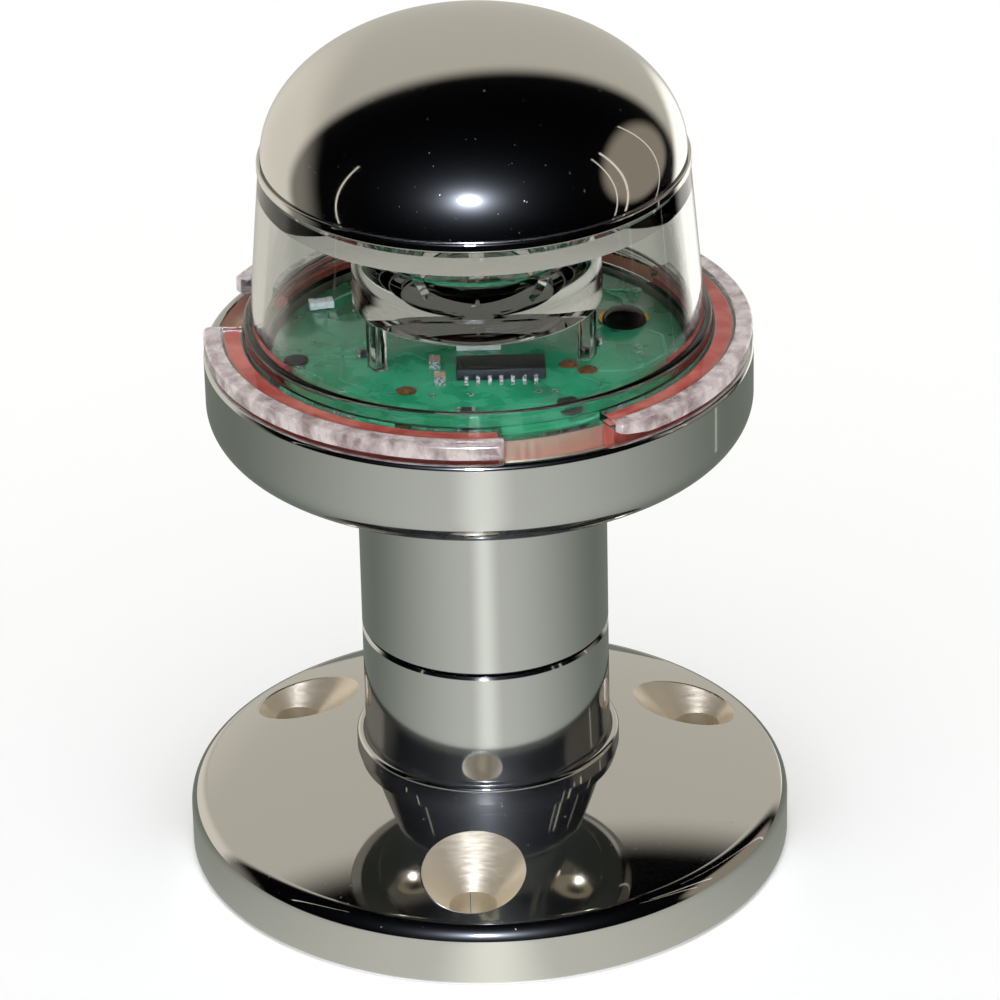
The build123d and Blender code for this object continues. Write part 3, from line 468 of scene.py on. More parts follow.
def evaluated(name, mesh, *changes):
    """The mesh after modifiers, each given as its kind and its settings, and no modifier left."""
    holder = linked(name, mesh)
    helpers = []
    for kind, settings in changes:
        modifier = holder.modifiers.new(kind.title(), kind)
        for key, value in settings.items():
            if isinstance(value, bpy.types.Mesh):
                value = linked("helper", value)
                value.hide_render = True
                helpers.append(value)
            setattr(modifier, key, value)
    bpy.context.view_layer.update()
    depsgraph = bpy.context.evaluated_depsgraph_get()
    made = bpy.data.meshes.new_from_object(holder.evaluated_get(depsgraph), depsgraph=depsgraph)
    made.name = name
    for extra in (holder, *helpers):
        bpy.data.objects.remove(extra)
    return made


def cut(mesh, *tools, operation="DIFFERENCE"):
    """The mesh less each tool, or with each joined on."""
    return evaluated(mesh.name, mesh, *[("BOOLEAN", {"operation": operation, "solver": "EXACT", "object": tool})
                                        for tool in tools])


def joined(name, *meshes):
    """Several meshes as one."""
    corners, faces, smooth, zones = [], [], [], []
    for mesh in meshes:
        start = len(corners)
        corners += [tuple(v.co) for v in mesh.vertices]
        faces += [[start + i for i in p.vertices] for p in mesh.polygons]
        smooth += [p.use_smooth for p in mesh.polygons]
        zones += [p.material_index for p in mesh.polygons]
    made = bpy.data.meshes.new(name)
    made.from_pydata(corners, [], faces)
    made.polygons.foreach_set("use_smooth", smooth)
    made.polygons.foreach_set("material_index", zones)
    return made


def eased(mesh, angle=35.0):
    """Smooth shading that keeps edges sharper than the angle."""
    mesh.shade_smooth()
    mesh.set_sharp_from_angle(angle=radians(angle))
    return mesh


def at_angle(radius, angle):
    """A place on a circle round the axis, in millimetres."""
    return (radius * cos(radians(angle)), radius * sin(radians(angle)))


def brick(place, size, level, edge=0.1, turned_by=0.0):
    """A small block with broken edges that stands on a level, in metres."""
    x, y, z = (s / 2 for s in size)
    corners = [(sx * x, sy * y, sz * z) for sz in (-1, 1) for sx, sy in ((-1, -1), (1, -1), (1, 1), (-1, 1))]
    faces = [(3, 2, 1, 0), (4, 5, 6, 7), (0, 1, 5, 4), (1, 2, 6, 5), (2, 3, 7, 6), (3, 0, 4, 7)]
    mesh = bpy.data.meshes.new("brick")
    mesh.from_pydata(corners, [], faces)
    mesh = evaluated("brick", mesh, ("BEVEL", {"width": edge, "segments": 2, "limit_method": "NONE"}))
    mesh.transform(Matrix.Scale(MM, 4) @ Matrix.Translation((place[0], place[1], level + z))
                   @ Matrix.Rotation(radians(turned_by), 4, "Z"))
    return mesh


def placed(mesh, x, y):
    """A turned mesh moved off the axis."""
    mesh.transform(Matrix.Translation((x * MM, y * MM, 0)))
    return mesh


def finished(name, mesh, body, slot, materials, *nodes):
    """Makes a mesh a piece of the light: its materials, its body and what it stands for; the slot is not used."""
    mesh.name = name
    piece = linked(name, mesh)
    # clearing the materials sets every face to the first one, so the faces' zones are kept and set again
    zones = [0] * len(mesh.polygons)
    mesh.polygons.foreach_get("material_index", zones)
    mesh.materials.clear()
    for material in materials:
        mesh.materials.append(material)
    if len(materials) > 1:
        mesh.polygons.foreach_set("material_index", zones)
    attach(piece, body)
    if nodes:
        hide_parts(*nodes)


def repaint(node, material):
    """Gives a frame node that stays its own finish."""
    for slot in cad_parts[node].material_slots:
        slot.material = material


# Finishes

def add_node(tree, kind, inputs=None, **settings):
    """Adds a node with its settings, and gives each input a value or links a socket to it."""
    made = tree.nodes.new(kind)
    for key, value in settings.items():
        setattr(made, key, value)
    for key, value in (inputs or {}).items():
        if isinstance(value, bpy.types.NodeSocket):
            tree.links.new(value, made.inputs[key])
        else:
            made.inputs[key].default_value = value
    return made


def bare_material(name):
    """A material with an empty node tree."""
    material = bpy.data.materials.new(name)
    material.use_nodes = True
    material.node_tree.nodes.clear()
    return material, material.node_tree


def new_finish(name, colour, **constants):
    """A material with one shader, its constants on the shader's own sockets."""
    material, tree = bare_material(name)
    shader = add_node(tree, "ShaderNodeBsdfPrincipled", {"Base Color": linear(colour), **constants})
    out = add_node(tree, "ShaderNodeOutputMaterial")
    tree.links.new(shader.outputs["BSDF"], out.inputs["Surface"])
    return material, tree, shader


def grain(tree, millimetres, detail=2.0, stretch=(1.0, 1.0, 1.0), roughness=0.5):
    """Noise on Object coordinates whose grains are so many millimetres wide."""
    where = add_node(tree, "ShaderNodeTexCoord")
    laid = add_node(tree, "ShaderNodeMapping", {"Vector": where.outputs["Object"], "Scale": stretch})
    noise_node = add_node(tree, "ShaderNodeTexNoise", {
        "Vector": laid.outputs["Vector"], "Scale": 1 / (millimetres * MM), "Detail": detail,
        "Roughness": roughness})
    return noise_node.outputs["Fac"]


def between(tree, value, low, high, from_low=0.0, from_high=1.0):
    """A value spread over another range."""
    return add_node(tree, "ShaderNodeMapRange", {"Value": value, "From Min": from_low, "From Max": from_high,
                                                 "To Min": low, "To Max": high}).outputs["Result"]


def relief(tree, shader, *layers):
    """Bumps, each given as its height map, its depth in millimetres and its strength."""
    under = None
    for height, depth, strength in layers:
        bump = add_node(tree, "ShaderNodeBump", {"Height": height, "Distance": depth * MM, "Strength": strength})
        if under is not None:
            tree.links.new(under, bump.inputs["Normal"])
        under = bump.outputs["Normal"]
    tree.links.new(under, shader.inputs["Normal"])


def polished_stainless():
    """Buffed stainless steel: a mirror with faint buffing waves, wiping smears and specks of dust."""
    material, tree, shader = new_finish("polished_stainless", "#d9d7d1", **{
        "Metallic": 1.0, "Coat Weight": 0.3, "Coat Roughness": 0.3})
    smear = grain(tree, 9.0, 4.0, (1.0, 1.0, 2.5))
    specks = grain(tree, 0.5, 1.0)
    dusty = between(tree, specks, 0.0, 0.25, 0.74, 0.8)
    wiped = between(tree, smear, 0.015, 0.075, 0.35, 0.75)
    rough = add_node(tree, "ShaderNodeMath", {0: wiped, 1: dusty}, operation="ADD")
    tree.links.new(rough.outputs[0], shader.inputs["Roughness"])
    relief(tree, shader, (grain(tree, 9.0, 1.0), 0.002, 0.2), (specks, 0.01, 0.02))
    return material


def buffed_stainless():
    """Turned and buffed stainless steel: almost a mirror, softened by turning marks round the stem."""
    material, tree, shader = new_finish("buffed_stainless", "#d0d1ce", **{
        "Metallic": 1.0, "Coat Weight": 0.3, "Coat Roughness": 0.3})
    marks = grain(tree, 1.6, 3.0, (0.3, 0.3, 7.0))
    rough = between(tree, grain(tree, 7.0, 3.0), 0.05, 0.1)
    tree.links.new(rough, shader.inputs["Roughness"])
    relief(tree, shader, (marks, 0.002, 0.12), (grain(tree, 0.5, 1.0), 0.004, 0.04))
    return material


def machined_stainless():
    """Countersunk stainless steel: a cutter's fine rings; its beige diffuse share is a painted reflection that
    brightens the holes.
    """
    material, tree, shader = new_finish("machined_stainless", "#dccfb8", Metallic=0.65)
    rings = grain(tree, 0.7, 3.0, (0.4, 0.4, 3.0))
    tree.links.new(between(tree, rings, 0.22, 0.42), shader.inputs["Roughness"])
    relief(tree, shader, (rings, 0.02, 0.3))
    return material


def cast_stainless():
    """Stainless steel as it was cast and roughly ground: dull, with upright scratches."""
    material, tree, shader = new_finish("cast_stainless", "#d8ccb6", Metallic=0.65)
    upright = grain(tree, 0.45, 3.0, (1.0, 1.0, 0.12))
    tree.links.new(between(tree, upright, 0.3, 0.5), shader.inputs["Roughness"])
    relief(tree, shader, (upright, 0.03, 0.6), (grain(tree, 0.35, 2.0), 0.02, 0.3))
    return material


def pitted_recess():
    """The unground skin of the casting in the lip's recesses: pale and gritty."""
    material, tree, shader = new_finish("pitted_recess", "#d6cfc0", Metallic=0.5)
    grit = grain(tree, 0.4, 3.0)
    tree.links.new(between(tree, grit, 0.35, 0.6), shader.inputs["Roughness"])
    relief(tree, shader, (grit, 0.08, 0.9))
    return material


def turned_steel():
    """Turned, unpolished steel for washers, nuts and screws."""
    material, tree, shader = new_finish("turned_steel", "#a8a59d", Metallic=1.0)
    marks = grain(tree, 0.6, 2.0)
    tree.links.new(between(tree, marks, 0.25, 0.4), shader.inputs["Roughness"])
    relief(tree, shader, (marks, 0.01, 0.4))
    return material


def clear_acrylic(name, haze, shade=0.0):
    """Injection-moulded clear acrylic: glassy, with the slightest flow waves and handling haze.
    A thick sight line through it turns grey, as the shade, in parts per metre, says."""
    material, tree, shader = new_finish(name, "#fbfdfc", **{"IOR": 1.49, "Transmission Weight": 1.0})
    tree.links.new(between(tree, grain(tree, 6.0, 4.0), 0.0, haze, 0.45, 0.8), shader.inputs["Roughness"])
    relief(tree, shader, (grain(tree, 4.0, 2.0), 0.012, 0.3), (grain(tree, 0.6, 1.0), 0.004, 0.1))
    if shade:
        dim = add_node(tree, "ShaderNodeVolumeAbsorption", {"Color": linear("#b8bbbb"), "Density": shade})
        tree.links.new(dim.outputs["Volume"], tree.nodes["Material Output"].inputs["Volume"])
    return material


def scuffed_acrylic():
    """The flange's outer band: milky white streaks in clear acrylic, partly wear from fingers and the cup's rim, partly
    painted highlights of the lamp on the flange.
    """
    material, tree, shader = new_finish("scuffed_acrylic", "#dccfcd", **{"IOR": 1.49, "Coat Weight": 0.8,
                                                                       "Coat Roughness": 0.05})
    rubbed_and_highlit = grain(tree, 2.2, 5.0, (1.0, 1.0, 0.6))
    tree.links.new(between(tree, rubbed_and_highlit, 0.1, 0.4), shader.inputs["Roughness"])
    tree.links.new(between(tree, rubbed_and_highlit, 0.7, 0.05, 0.38, 0.6), shader.inputs["Transmission Weight"])
    relief(tree, shader, (rubbed_and_highlit, 0.05, 0.3), (grain(tree, 0.5, 2.0), 0.01, 0.3))
    return material


def silicone_rubber():
    """Red silicone rubber, moulded: soft sheen, paler where dust and moulding powder cling."""
    material, tree, shader = new_finish("silicone_rubber", "#b3402f", **{"Sheen Weight": 0.2, "Roughness": 0.5})
    patchy = grain(tree, 3.0, 5.0)
    colour = add_node(tree, "ShaderNodeMix", {"Factor": between(tree, patchy, 0.0, 1.0, 0.4, 0.7),
                                              "A": linear("#b0392a"), "B": linear("#cf6f5b")}, data_type="RGBA")
    tree.links.new(colour.outputs["Result"], shader.inputs["Base Color"])
    relief(tree, shader, (grain(tree, 0.3, 2.0), 0.02, 0.3))
    return material


def moulded_rubber():
    """Black nitrile rubber: dull, with a fine moulded skin."""
    material, tree, shader = new_finish("moulded_rubber", "#1c1c1b")
    skin = grain(tree, 0.35, 3.0)
    tree.links.new(between(tree, skin, 0.5, 0.75), shader.inputs["Roughness"])
    relief(tree, shader, (skin, 0.02, 0.4))
    return material


def solder_resist(light):
    """Green solder resist screened over glass-fibre board: glossy, cloudy where it runs thin."""
    board = sizes("navlight_board")
    name = "solder_resist_on_copper" if light else "solder_resist"
    material, tree, shader = new_finish(name, "#0f7a4d", **{"Coat Weight": 0.6, "Coat Roughness": 0.08})
    cloud = grain(tree, 7.0, 5.0, roughness=0.6)
    weave = grain(tree, 0.35, 1.0, (1.0, 0.35, 1.0))
    shift = 0.3 if light else 0.0
    share = add_node(tree, "ShaderNodeMath", {0: between(tree, cloud, shift, 0.75 + shift, 0.35, 0.7),
                                              1: between(tree, weave, -0.06, 0.06)}, operation="ADD")
    colour = add_node(tree, "ShaderNodeMix", {"Factor": share.outputs[0], "A": board.resist,
                                              "B": board.resist_light}, data_type="RGBA")
    tree.links.new(colour.outputs["Result"], shader.inputs["Base Color"])
    tree.links.new(between(tree, cloud, 0.2, 0.35), shader.inputs["Roughness"])
    relief(tree, shader, (weave, 0.01, 0.25), (cloud, 0.05, 0.2))
    return material


def speckled(name, dark, pale, low, high, grains, depth, **constants):
    """A moulded, fired or plated finish: two near shades, a roughness range and a fine relief."""
    material, tree, shader = new_finish(name, dark, **constants)
    spread = grain(tree, grains, 3.0)
    colour = add_node(tree, "ShaderNodeMix", {"Factor": between(tree, spread, 0.0, 1.0, 0.35, 0.65),
                                              "A": linear(dark), "B": linear(pale)}, data_type="RGBA")
    tree.links.new(colour.outputs["Result"], shader.inputs["Base Color"])
    tree.links.new(between(tree, spread, low, high), shader.inputs["Roughness"])
    relief(tree, shader, (spread, depth, 0.35))
    return material


FINISHES = {}


def make_finishes():
    FINISHES.update({
        "polished": polished_stainless(),
        "buffed": buffed_stainless(),
        "machined": machined_stainless(),
        "cast": cast_stainless(),
        "pitted": pitted_recess(),
        "turned": turned_steel(),
        "acrylic": clear_acrylic("clear_acrylic", 0.03),
        "lens": clear_acrylic("lens_acrylic", 0.02, 110.0),
        "scuffed": scuffed_acrylic(),
        "silicone": silicone_rubber(),
        "rubber": moulded_rubber(),
        "resist": solder_resist(light=False),
        "track": solder_resist(light=True),
        # glass-filled nylon, moulded: even, slightly open grain
        "nylon_black": speckled("black_nylon", "#1a1b1c", "#242526", 0.45, 0.6, 0.4, 0.01),
        "nylon_white": speckled("white_nylon", "#d9d6cc", "#e6e4dc", 0.4, 0.55, 0.5, 0.01),
        # moulded epoxy of chip packages: grey black with fine filler
        "epoxy": speckled("epoxy_moulding", "#141517", "#232527", 0.4, 0.55, 0.15, 0.004),
        # cured resin drop: wet-looking black
        "resin": speckled("cured_resin", "#060606", "#0a0908", 0.03, 0.07, 1.5, 0.01),
        # tinned copper and bright solder
        "tinned": speckled("tinned_copper", "#b9b8b3", "#d2d1cc", 0.2, 0.35, 0.3, 0.008, Metallic=0.7),
        # gold over nickel on the drop's pad
        "gold": speckled("gold_plate", "#c98f2e", "#e2b04a", 0.2, 0.3, 0.4, 0.006, Metallic=1.0),
        # solder with burnt flux on it: brown, half shiny
        "flux": speckled("fluxed_solder", "#3a2415", "#7a4a25", 0.2, 0.4, 0.5, 0.02),
        # sintered ceramic of capacitors, and glazed ceramic of the fuse
        "ceramic_tan": speckled("sintered_ceramic", "#a98563", "#c7a27d", 0.4, 0.55, 0.25, 0.005),
        "ceramic_white": speckled("glazed_ceramic", "#e6e5df", "#f3f3ef", 0.12, 0.2, 0.6, 0.004),
        # phosphor in clear silicone over the diode
        "phosphor": speckled("phosphor_silicone", "#e3c54e", "#f1dd7f", 0.2, 0.3, 0.2, 0.01),
        # cable insulation
        "pvc_red": speckled("red_pvc", "#a01a14", "#b3261f", 0.3, 0.4, 0.8, 0.006),
        "pvc_black": speckled("black_pvc", "#121212", "#1d1d1d", 0.3, 0.4, 0.8, 0.006),
    })


# Base

def base_edge_arc(b):
    """The circle that rounds the base's edge, tangent to its wall: its centre, radius and end angle."""
    radius = (b.edge_inset ** 2 + b.edge_rise ** 2) / (2 * b.edge_inset)
    centre = (b.radius - radius, b.wall_height)
    end = degrees(atan2(b.edge_rise, b.radius - b.edge_inset - centre[0]))
    return centre, radius, end


def crown_level(b, radius):
    """How high the base's crown is at a radius."""
    outer, low = b.radius - b.edge_inset, b.wall_height + b.edge_rise
    share = (outer - radius) / (outer - b.collar_radius)
    return low + (b.crown_top - low) * share + 4 * b.crown_bulge * share * (1 - share)


def crown_slope(b, radius):
    """How the crown's level changes with the radius."""
    step = 0.01
    return (crown_level(b, radius + step) - crown_level(b, radius - step)) / (2 * step)


def screw_cutter(b, place):
    """The hole, the countersink and a rounded mouth that follows the crown's slope, as a closed mesh."""
    x0, y0 = place
    level = crown_level(b, sqrt(x0 * x0 + y0 * y0))
    cone_foot = level - (b.screw_mouth - b.screw_hole)
    # the rounding stops this many degrees short of the crown's own slope, so that the cut is clean
    short = 9.0
    # how far the cutter goes on above the crown, and outside its own rounding
    rise, reach = 8.0, 2.0
    columns = []
    for at in range(MEDIUM):
        a = 2 * pi * at / MEDIUM
        way = (cos(a), sin(a))
        x, y = x0 + b.screw_mouth * way[0], y0 + b.screw_mouth * way[1]
        r = sqrt(x * x + y * y)
        slope = crown_slope(b, r) * (x * way[0] + y * way[1]) / r
        lean = degrees(atan2(slope, 1.0))
        # the crown's line here is edge + slope * (s - mouth); the cone's line is cone_foot + (s - hole)
        edge = crown_level(b, r)
        last = lean + short
        bends = np.radians(np.linspace(45.0, last, 9))
        # the arc turns from the cone's 45 degrees down to the last lean, bulging up and inwards
        arc_s = -b.mouth_round * (np.sin(bends) - sin(bends[0]))
        arc_z = b.mouth_round * (np.cos(bends) - cos(bends[0]))
        # where the arc's end has to lie: on the crown's line
        start = (edge - cone_foot + b.screw_hole - slope * b.screw_mouth
                 - (arc_z[-1] - slope * arc_s[-1])) / (1 - slope)
        profile = [(b.screw_hole, -1.0), (b.screw_hole, cone_foot)]
        profile += [(start + s, cone_foot - b.screw_hole + start + z) for s, z in zip(arc_s, arc_z)]
        far = profile[-1]
        profile.append((far[0] + reach, far[1] + reach * sin(radians(last)) / cos(radians(last))))
        profile.append((far[0] + reach, level + rise))
        columns.append([((x0 + s * way[0]) * MM, (y0 + s * way[1]) * MM, z * MM) for s, z in profile])
    rows = len(columns[0])
    corners = [corner for column in columns for corner in column]
    faces = []
    for at in range(MEDIUM):
        after = (at + 1) % MEDIUM
        faces += [[at * rows + i, after * rows + i, after * rows + i + 1, at * rows + i + 1] for i in range(rows - 1)]
    faces.append([at * rows for at in range(MEDIUM - 1, -1, -1)])
    faces.append([at * rows + rows - 1 for at in range(MEDIUM)])
    mesh = bpy.data.meshes.new("screw_cutter")
    mesh.from_pydata(corners, [], faces)
    return mesh


def base_outline(b, collar_top, bore):
    """The base's outline: foot, wall, crown, collar and the grommet's seat."""
    centre, radius, end = base_edge_arc(b)
    edge, edge_top = b.radius - b.edge_inset, b.wall_height + b.edge_rise
    middle = (edge + b.collar_radius) / 2
    soft = b.collar_round
    out = Outline()
    out.line((b.grommet_recess, 0), (b.radius - b.under_chamfer, 0), (b.radius, b.under_chamfer),
             (b.radius, b.wall_height))
    out.arc(centre, radius, 0, end, 16)
    out.through((edge, edge_top), (middle, crown_level(b, middle)), (b.collar_radius, b.crown_top), 40)
    out.line((b.collar_radius, b.crown_top), (b.collar_radius, collar_top - soft))
    out.arc((b.collar_radius - soft, collar_top - soft), soft, 0, 90, 10)
    out.line((b.collar_radius - soft, collar_top), (bore, collar_top), (bore, b.floor), (b.grommet_neck, b.floor),
             (b.grommet_neck, b.grommet_depth), (b.grommet_recess, b.grommet_depth), (b.grommet_recess, 0))
    return out


class NAVLIGHT_OT_base(bpy.types.Operator):
    """Builds the crowned base with its collar and three countersunk screw holes"""
    bl_idname = "navlight.base"
    bl_label = "Base"

    def execute(self, context):
        b, s = sizes("navlight_base"), sizes("navlight_stem")
        outline = base_outline(b, top_of("base_flange"), s.radius)
        mesh = turned("base_flange_polished", outline)
        holes = [at_angle(b.screw_circle, b.first_screw + third) for third in THIRDS]
        mesh = cut(mesh, *[screw_cutter(b, hole) for hole in holes])
        foot = crown_level(b, b.screw_circle) - (b.screw_mouth - b.screw_hole)
        wide = b.screw_mouth - 0.2
        well = Outline().line((wide, foot + wide - b.screw_hole), (b.screw_hole, foot), (b.screw_hole, -1.0))
        dress_with_lips(mesh, [Surface(outline), *[Surface(well, hole) for hole in holes]])
        for face in mesh.polygons:
            centre = face.center / MM
            away = min(sqrt((centre.x - x) ** 2 + (centre.y - y) ** 2) for x, y in holes)
            in_bore = away < b.screw_hole + 0.01 and centre.z > 0.01
            on_cone = away < b.screw_mouth + 2 and abs(centre.z - foot - away + b.screw_hole) < 0.03
            face.material_index = int(in_bore or on_cone)
        finished("base_flange_polished", mesh, "base", "polished_steel",
                 [FINISHES["polished"], FINISHES["machined"]], "base_flange")
        return {"FINISHED"}


def dress_with_lips(mesh, surfaces, angle=30.0):
    """Exact normals where a face lies on a turned surface, and smoothed ones on the rounded lips between."""
    eased(mesh, angle)
    soft = np.zeros(len(mesh.loops) * 3)
    mesh.corner_normals.foreach_get("vector", soft)
    soft = soft.reshape(-1, 3).copy()
    dress(mesh, *surfaces)
    exact = np.zeros(len(mesh.loops) * 3)
    mesh.corner_normals.foreach_get("vector", exact)
    exact = exact.reshape(-1, 3).copy()
    loop_face = np.repeat(np.arange(len(mesh.polygons)), [p.loop_total for p in mesh.polygons])
    face_normal = np.array([p.normal for p in mesh.polygons])[loop_face]
    # a corner whose normal is still its face's own lies on no turned surface
    plain = np.linalg.norm(exact - face_normal, axis=1) < 1e-4
    exact[plain] = soft[plain]
    mesh.normals_split_custom_set(exact.tolist())


# Socket and stem

class NAVLIGHT_OT_socket(bpy.types.Operator):
    """Builds the socket tube and gives the rubber grommet and the sealing ring their finish"""
    bl_idname = "navlight.socket"
    bl_label = "Socket tube"

    def execute(self, context):
        b, s = sizes("navlight_base"), sizes("navlight_stem")
        top = top_of("socket_tube")
        edge = s.seam_chamfer
        outline = Outline().line(
            (s.socket_bore, b.floor), (s.radius, b.floor), (s.radius, top - edge), (s.radius - edge, top),
            (s.socket_bore, top), (s.socket_bore, b.floor))
        finished("socket_tube_turned", turned("socket", outline), "base", "polished_steel",
                 [FINISHES["buffed"]], "socket_tube")
        for node in ("cable_grommet", "stem_oring"):
            repaint(node, FINISHES["rubber"])
        return {"FINISHED"}


def new_tree(name, **inputs):
    """An empty Geometry Nodes tree, its input sockets by name, and what they give to its nodes.
    Each input is given as its kind, or as its kind and a starting value, and its name with _ for a space."""
    tree = bpy.data.node_groups.new(name, "GeometryNodeTree")
    sockets = {}
    for key, (kind, *value) in inputs.items():
        label = key.replace("_", " ")
        sockets[label] = tree.interface.new_socket(label, in_out="INPUT", socket_type=f"NodeSocket{kind}")
        if value:
            sockets[label].default_value = value[0]
    tree.interface.new_socket("Geometry", in_out="OUTPUT", socket_type="NodeSocketGeometry")
    return tree, sockets, add_node(tree, "NodeGroupInput").outputs


def close_tree(tree, geometry, material):
    """Ends a Geometry Nodes tree with plain geometry in one material."""
    whole = add_node(tree, "GeometryNodeRealizeInstances", {"Geometry": geometry})
    painted = add_node(tree, "GeometryNodeSetMaterial", {"Geometry": whole.outputs["Geometry"],
                                                         "Material": material})
    add_node(tree, "NodeGroupOutput", {"Geometry": painted.outputs["Geometry"]})


def thread_tree():
    """A node tree that winds a V-shaped ridge round a core: its radius, depth, pitch and number of turns are inputs."""
    tree, sockets, given = new_tree(
        "screw_thread", Core_Radius=("Float", 0.0108), Depth=("Float", 0.0006), Pitch=("Float", 0.0015),
        Start_Level=("Float", 0.0), Turns=("Float", 3.0), Finish=("Material",))
    height = add_node(tree, "ShaderNodeMath", {0: given["Pitch"], 1: given["Turns"]}, operation="MULTIPLY")
    spiral = add_node(tree, "GeometryNodeCurveSpiral", {
        "Resolution": 96, "Rotations": given["Turns"], "Start Radius": given["Core Radius"],
        "End Radius": given["Core Radius"], "Height": height.outputs[0]})
    upright = add_node(tree, "GeometryNodeSetCurveNormal", {"Curve": spiral.outputs["Curve"]}, mode="Z_UP")
    # a ridge of three corners, with a flat foot sunk a little into the core
    half, sunk = 0.42, 0.05 * MM
    above = add_node(tree, "ShaderNodeMath", {0: given["Pitch"], 1: half}, operation="MULTIPLY")
    below = add_node(tree, "ShaderNodeMath", {0: above.outputs[0], 1: -1.0}, operation="MULTIPLY")
    foot_a = add_node(tree, "ShaderNodeCombineXYZ", {0: sunk, 1: below.outputs[0]})
    foot_b = add_node(tree, "ShaderNodeCombineXYZ", {0: sunk, 1: above.outputs[0]})
    out = add_node(tree, "ShaderNodeMath", {0: given["Depth"], 1: -1.0}, operation="MULTIPLY")
    crest = add_node(tree, "ShaderNodeCombineXYZ", {0: out.outputs[0]})
    ridge = add_node(tree, "GeometryNodeCurvePrimitiveQuadrilateral", {
        "Point 1": foot_a.outputs[0], "Point 2": crest.outputs[0], "Point 3": foot_b.outputs[0],
        "Point 4": foot_b.outputs[0]}, mode="POINTS")
    swept = add_node(tree, "GeometryNodeCurveToMesh", {
        "Curve": upright.outputs["Curve"], "Profile Curve": ridge.outputs["Curve"], "Fill Caps": True})
    merged = add_node(tree, "GeometryNodeMergeByDistance", {"Geometry": swept.outputs["Mesh"], "Distance": 1e-6})
    raise_by = add_node(tree, "ShaderNodeCombineXYZ", {2: given["Start Level"]})
    raised = add_node(tree, "GeometryNodeTransform", {"Geometry": merged.outputs["Geometry"],
                                                      "Translation": raise_by.outputs[0]})
    close_tree(tree, raised.outputs["Geometry"], given["Finish"])
    return tree, sockets


def grown(name, tree, sockets, values, start=None):
    """Runs a node tree on a mesh, or on nothing, with its inputs set, and keeps the plain mesh."""
    holder = linked(name, start or bpy.data.meshes.new(name))
    modifier = holder.modifiers.new("Nodes", "NODES")
    modifier.node_group = tree
    for socket, value in values.items():
        modifier[sockets[socket].identifier] = value
    bpy.context.view_layer.update()
    depsgraph = bpy.context.evaluated_depsgraph_get()
    mesh = bpy.data.meshes.new_from_object(holder.evaluated_get(depsgraph), depsgraph=depsgraph)
    bpy.data.objects.remove(holder)
    return mesh


class NAVLIGHT_OT_stem(bpy.types.Operator):
    """Builds the stem with its threaded spigot"""
    bl_idname = "navlight.stem"
    bl_label = "Stem"

    def execute(self, context):
        s = sizes("navlight_stem")
        foot, top = foot_of("stem_tube"), top_of("stem_tube")
        level = top_of("socket_tube") + s.seam_gap
        spigot = s.socket_bore - s.spigot_clearance
        core = spigot - s.thread_depth
        groove_top = level - s.groove_drop
        groove_foot = groove_top - s.groove_width
        thread_top = groove_foot - s.thread_depth
        edge = s.seam_chamfer
        outline = Outline().line(
            (s.bore, foot), (spigot - edge, foot), (spigot, foot + edge), (spigot, foot + s.pilot),
            (core, foot + s.pilot), (core, thread_top), (spigot, thread_top), (spigot, groove_foot),
            (s.groove_floor, groove_foot), (s.groove_floor, groove_top), (spigot, groove_top), (spigot, level),
            (s.radius - edge, level), (s.radius, level + edge), (s.radius, s.pan_level), (s.nose, s.pan_level),
            (s.nose, top), (s.bore, top), (s.bore, foot))
        finished("stem_tube_turned", turned("stem", outline), "head", "polished_steel",
                 [FINISHES["buffed"]], "stem_tube")
        tree, sockets = thread_tree()
        start = foot + s.pilot + s.thread_pitch / 2
        thread = grown("stem_thread", tree, sockets, {
            "Core Radius": core * MM, "Depth": s.thread_depth * MM, "Pitch": s.thread_pitch * MM,
            "Start Level": start * MM, "Turns": (thread_top - start - s.thread_pitch / 2) / s.thread_pitch,
            "Finish": FINISHES["turned"]})
        finished("stem_thread", eased(thread), "head", "satin_steel", [FINISHES["turned"]])
        return {"FINISHED"}


# Cup

def pan_outline(p, s, foot, cast, deep):
    """The cup's outline; zone 1 is the dull casting inside the channel."""
    lip_top = foot + p.lip_height
    bowl_top = lip_top + p.bowl_height
    rim = foot + p.height
    rim_inner = p.radius - p.rim_width
    channel = rim - p.channel_depth
    nose = s.nose + 0.05
    floor_top = foot + p.floor
    hollow = deep - 1.0
    inner_foot = 19.5
    soft = 0.25
    out = Outline()
    out.line((nose, foot), (p.lip_radius - soft, foot))
    out.arc((p.lip_radius - soft, foot + soft), soft, -90, 0, 6)
    out.line((p.lip_radius, foot + soft), (p.lip_radius, lip_top))
    out.bow((p.lip_radius, lip_top), (p.radius, bowl_top), (p.radius, lip_top), 40)
    out.line((p.radius, bowl_top), (p.radius, rim - p.rim_round))
    out.arc((p.radius - p.rim_round, rim - p.rim_round), p.rim_round, 0, 90, 10)
    out.line((p.radius - p.rim_round, rim), (rim_inner, rim))
    out.line((rim_inner, rim), (rim_inner, channel), (p.ring_radius, channel), (p.ring_radius, cast),
             (p.bore, cast), (p.bore, hollow), zone=1)
    middle = ((p.bore + inner_foot) / 2 + 0.8, (hollow + floor_top) / 2 - 0.8)
    out.through((p.bore, hollow), middle, (inner_foot, floor_top), 16, zone=1)
    out.line((inner_foot, floor_top), (nose, floor_top), (nose, foot), zone=1)
    return out


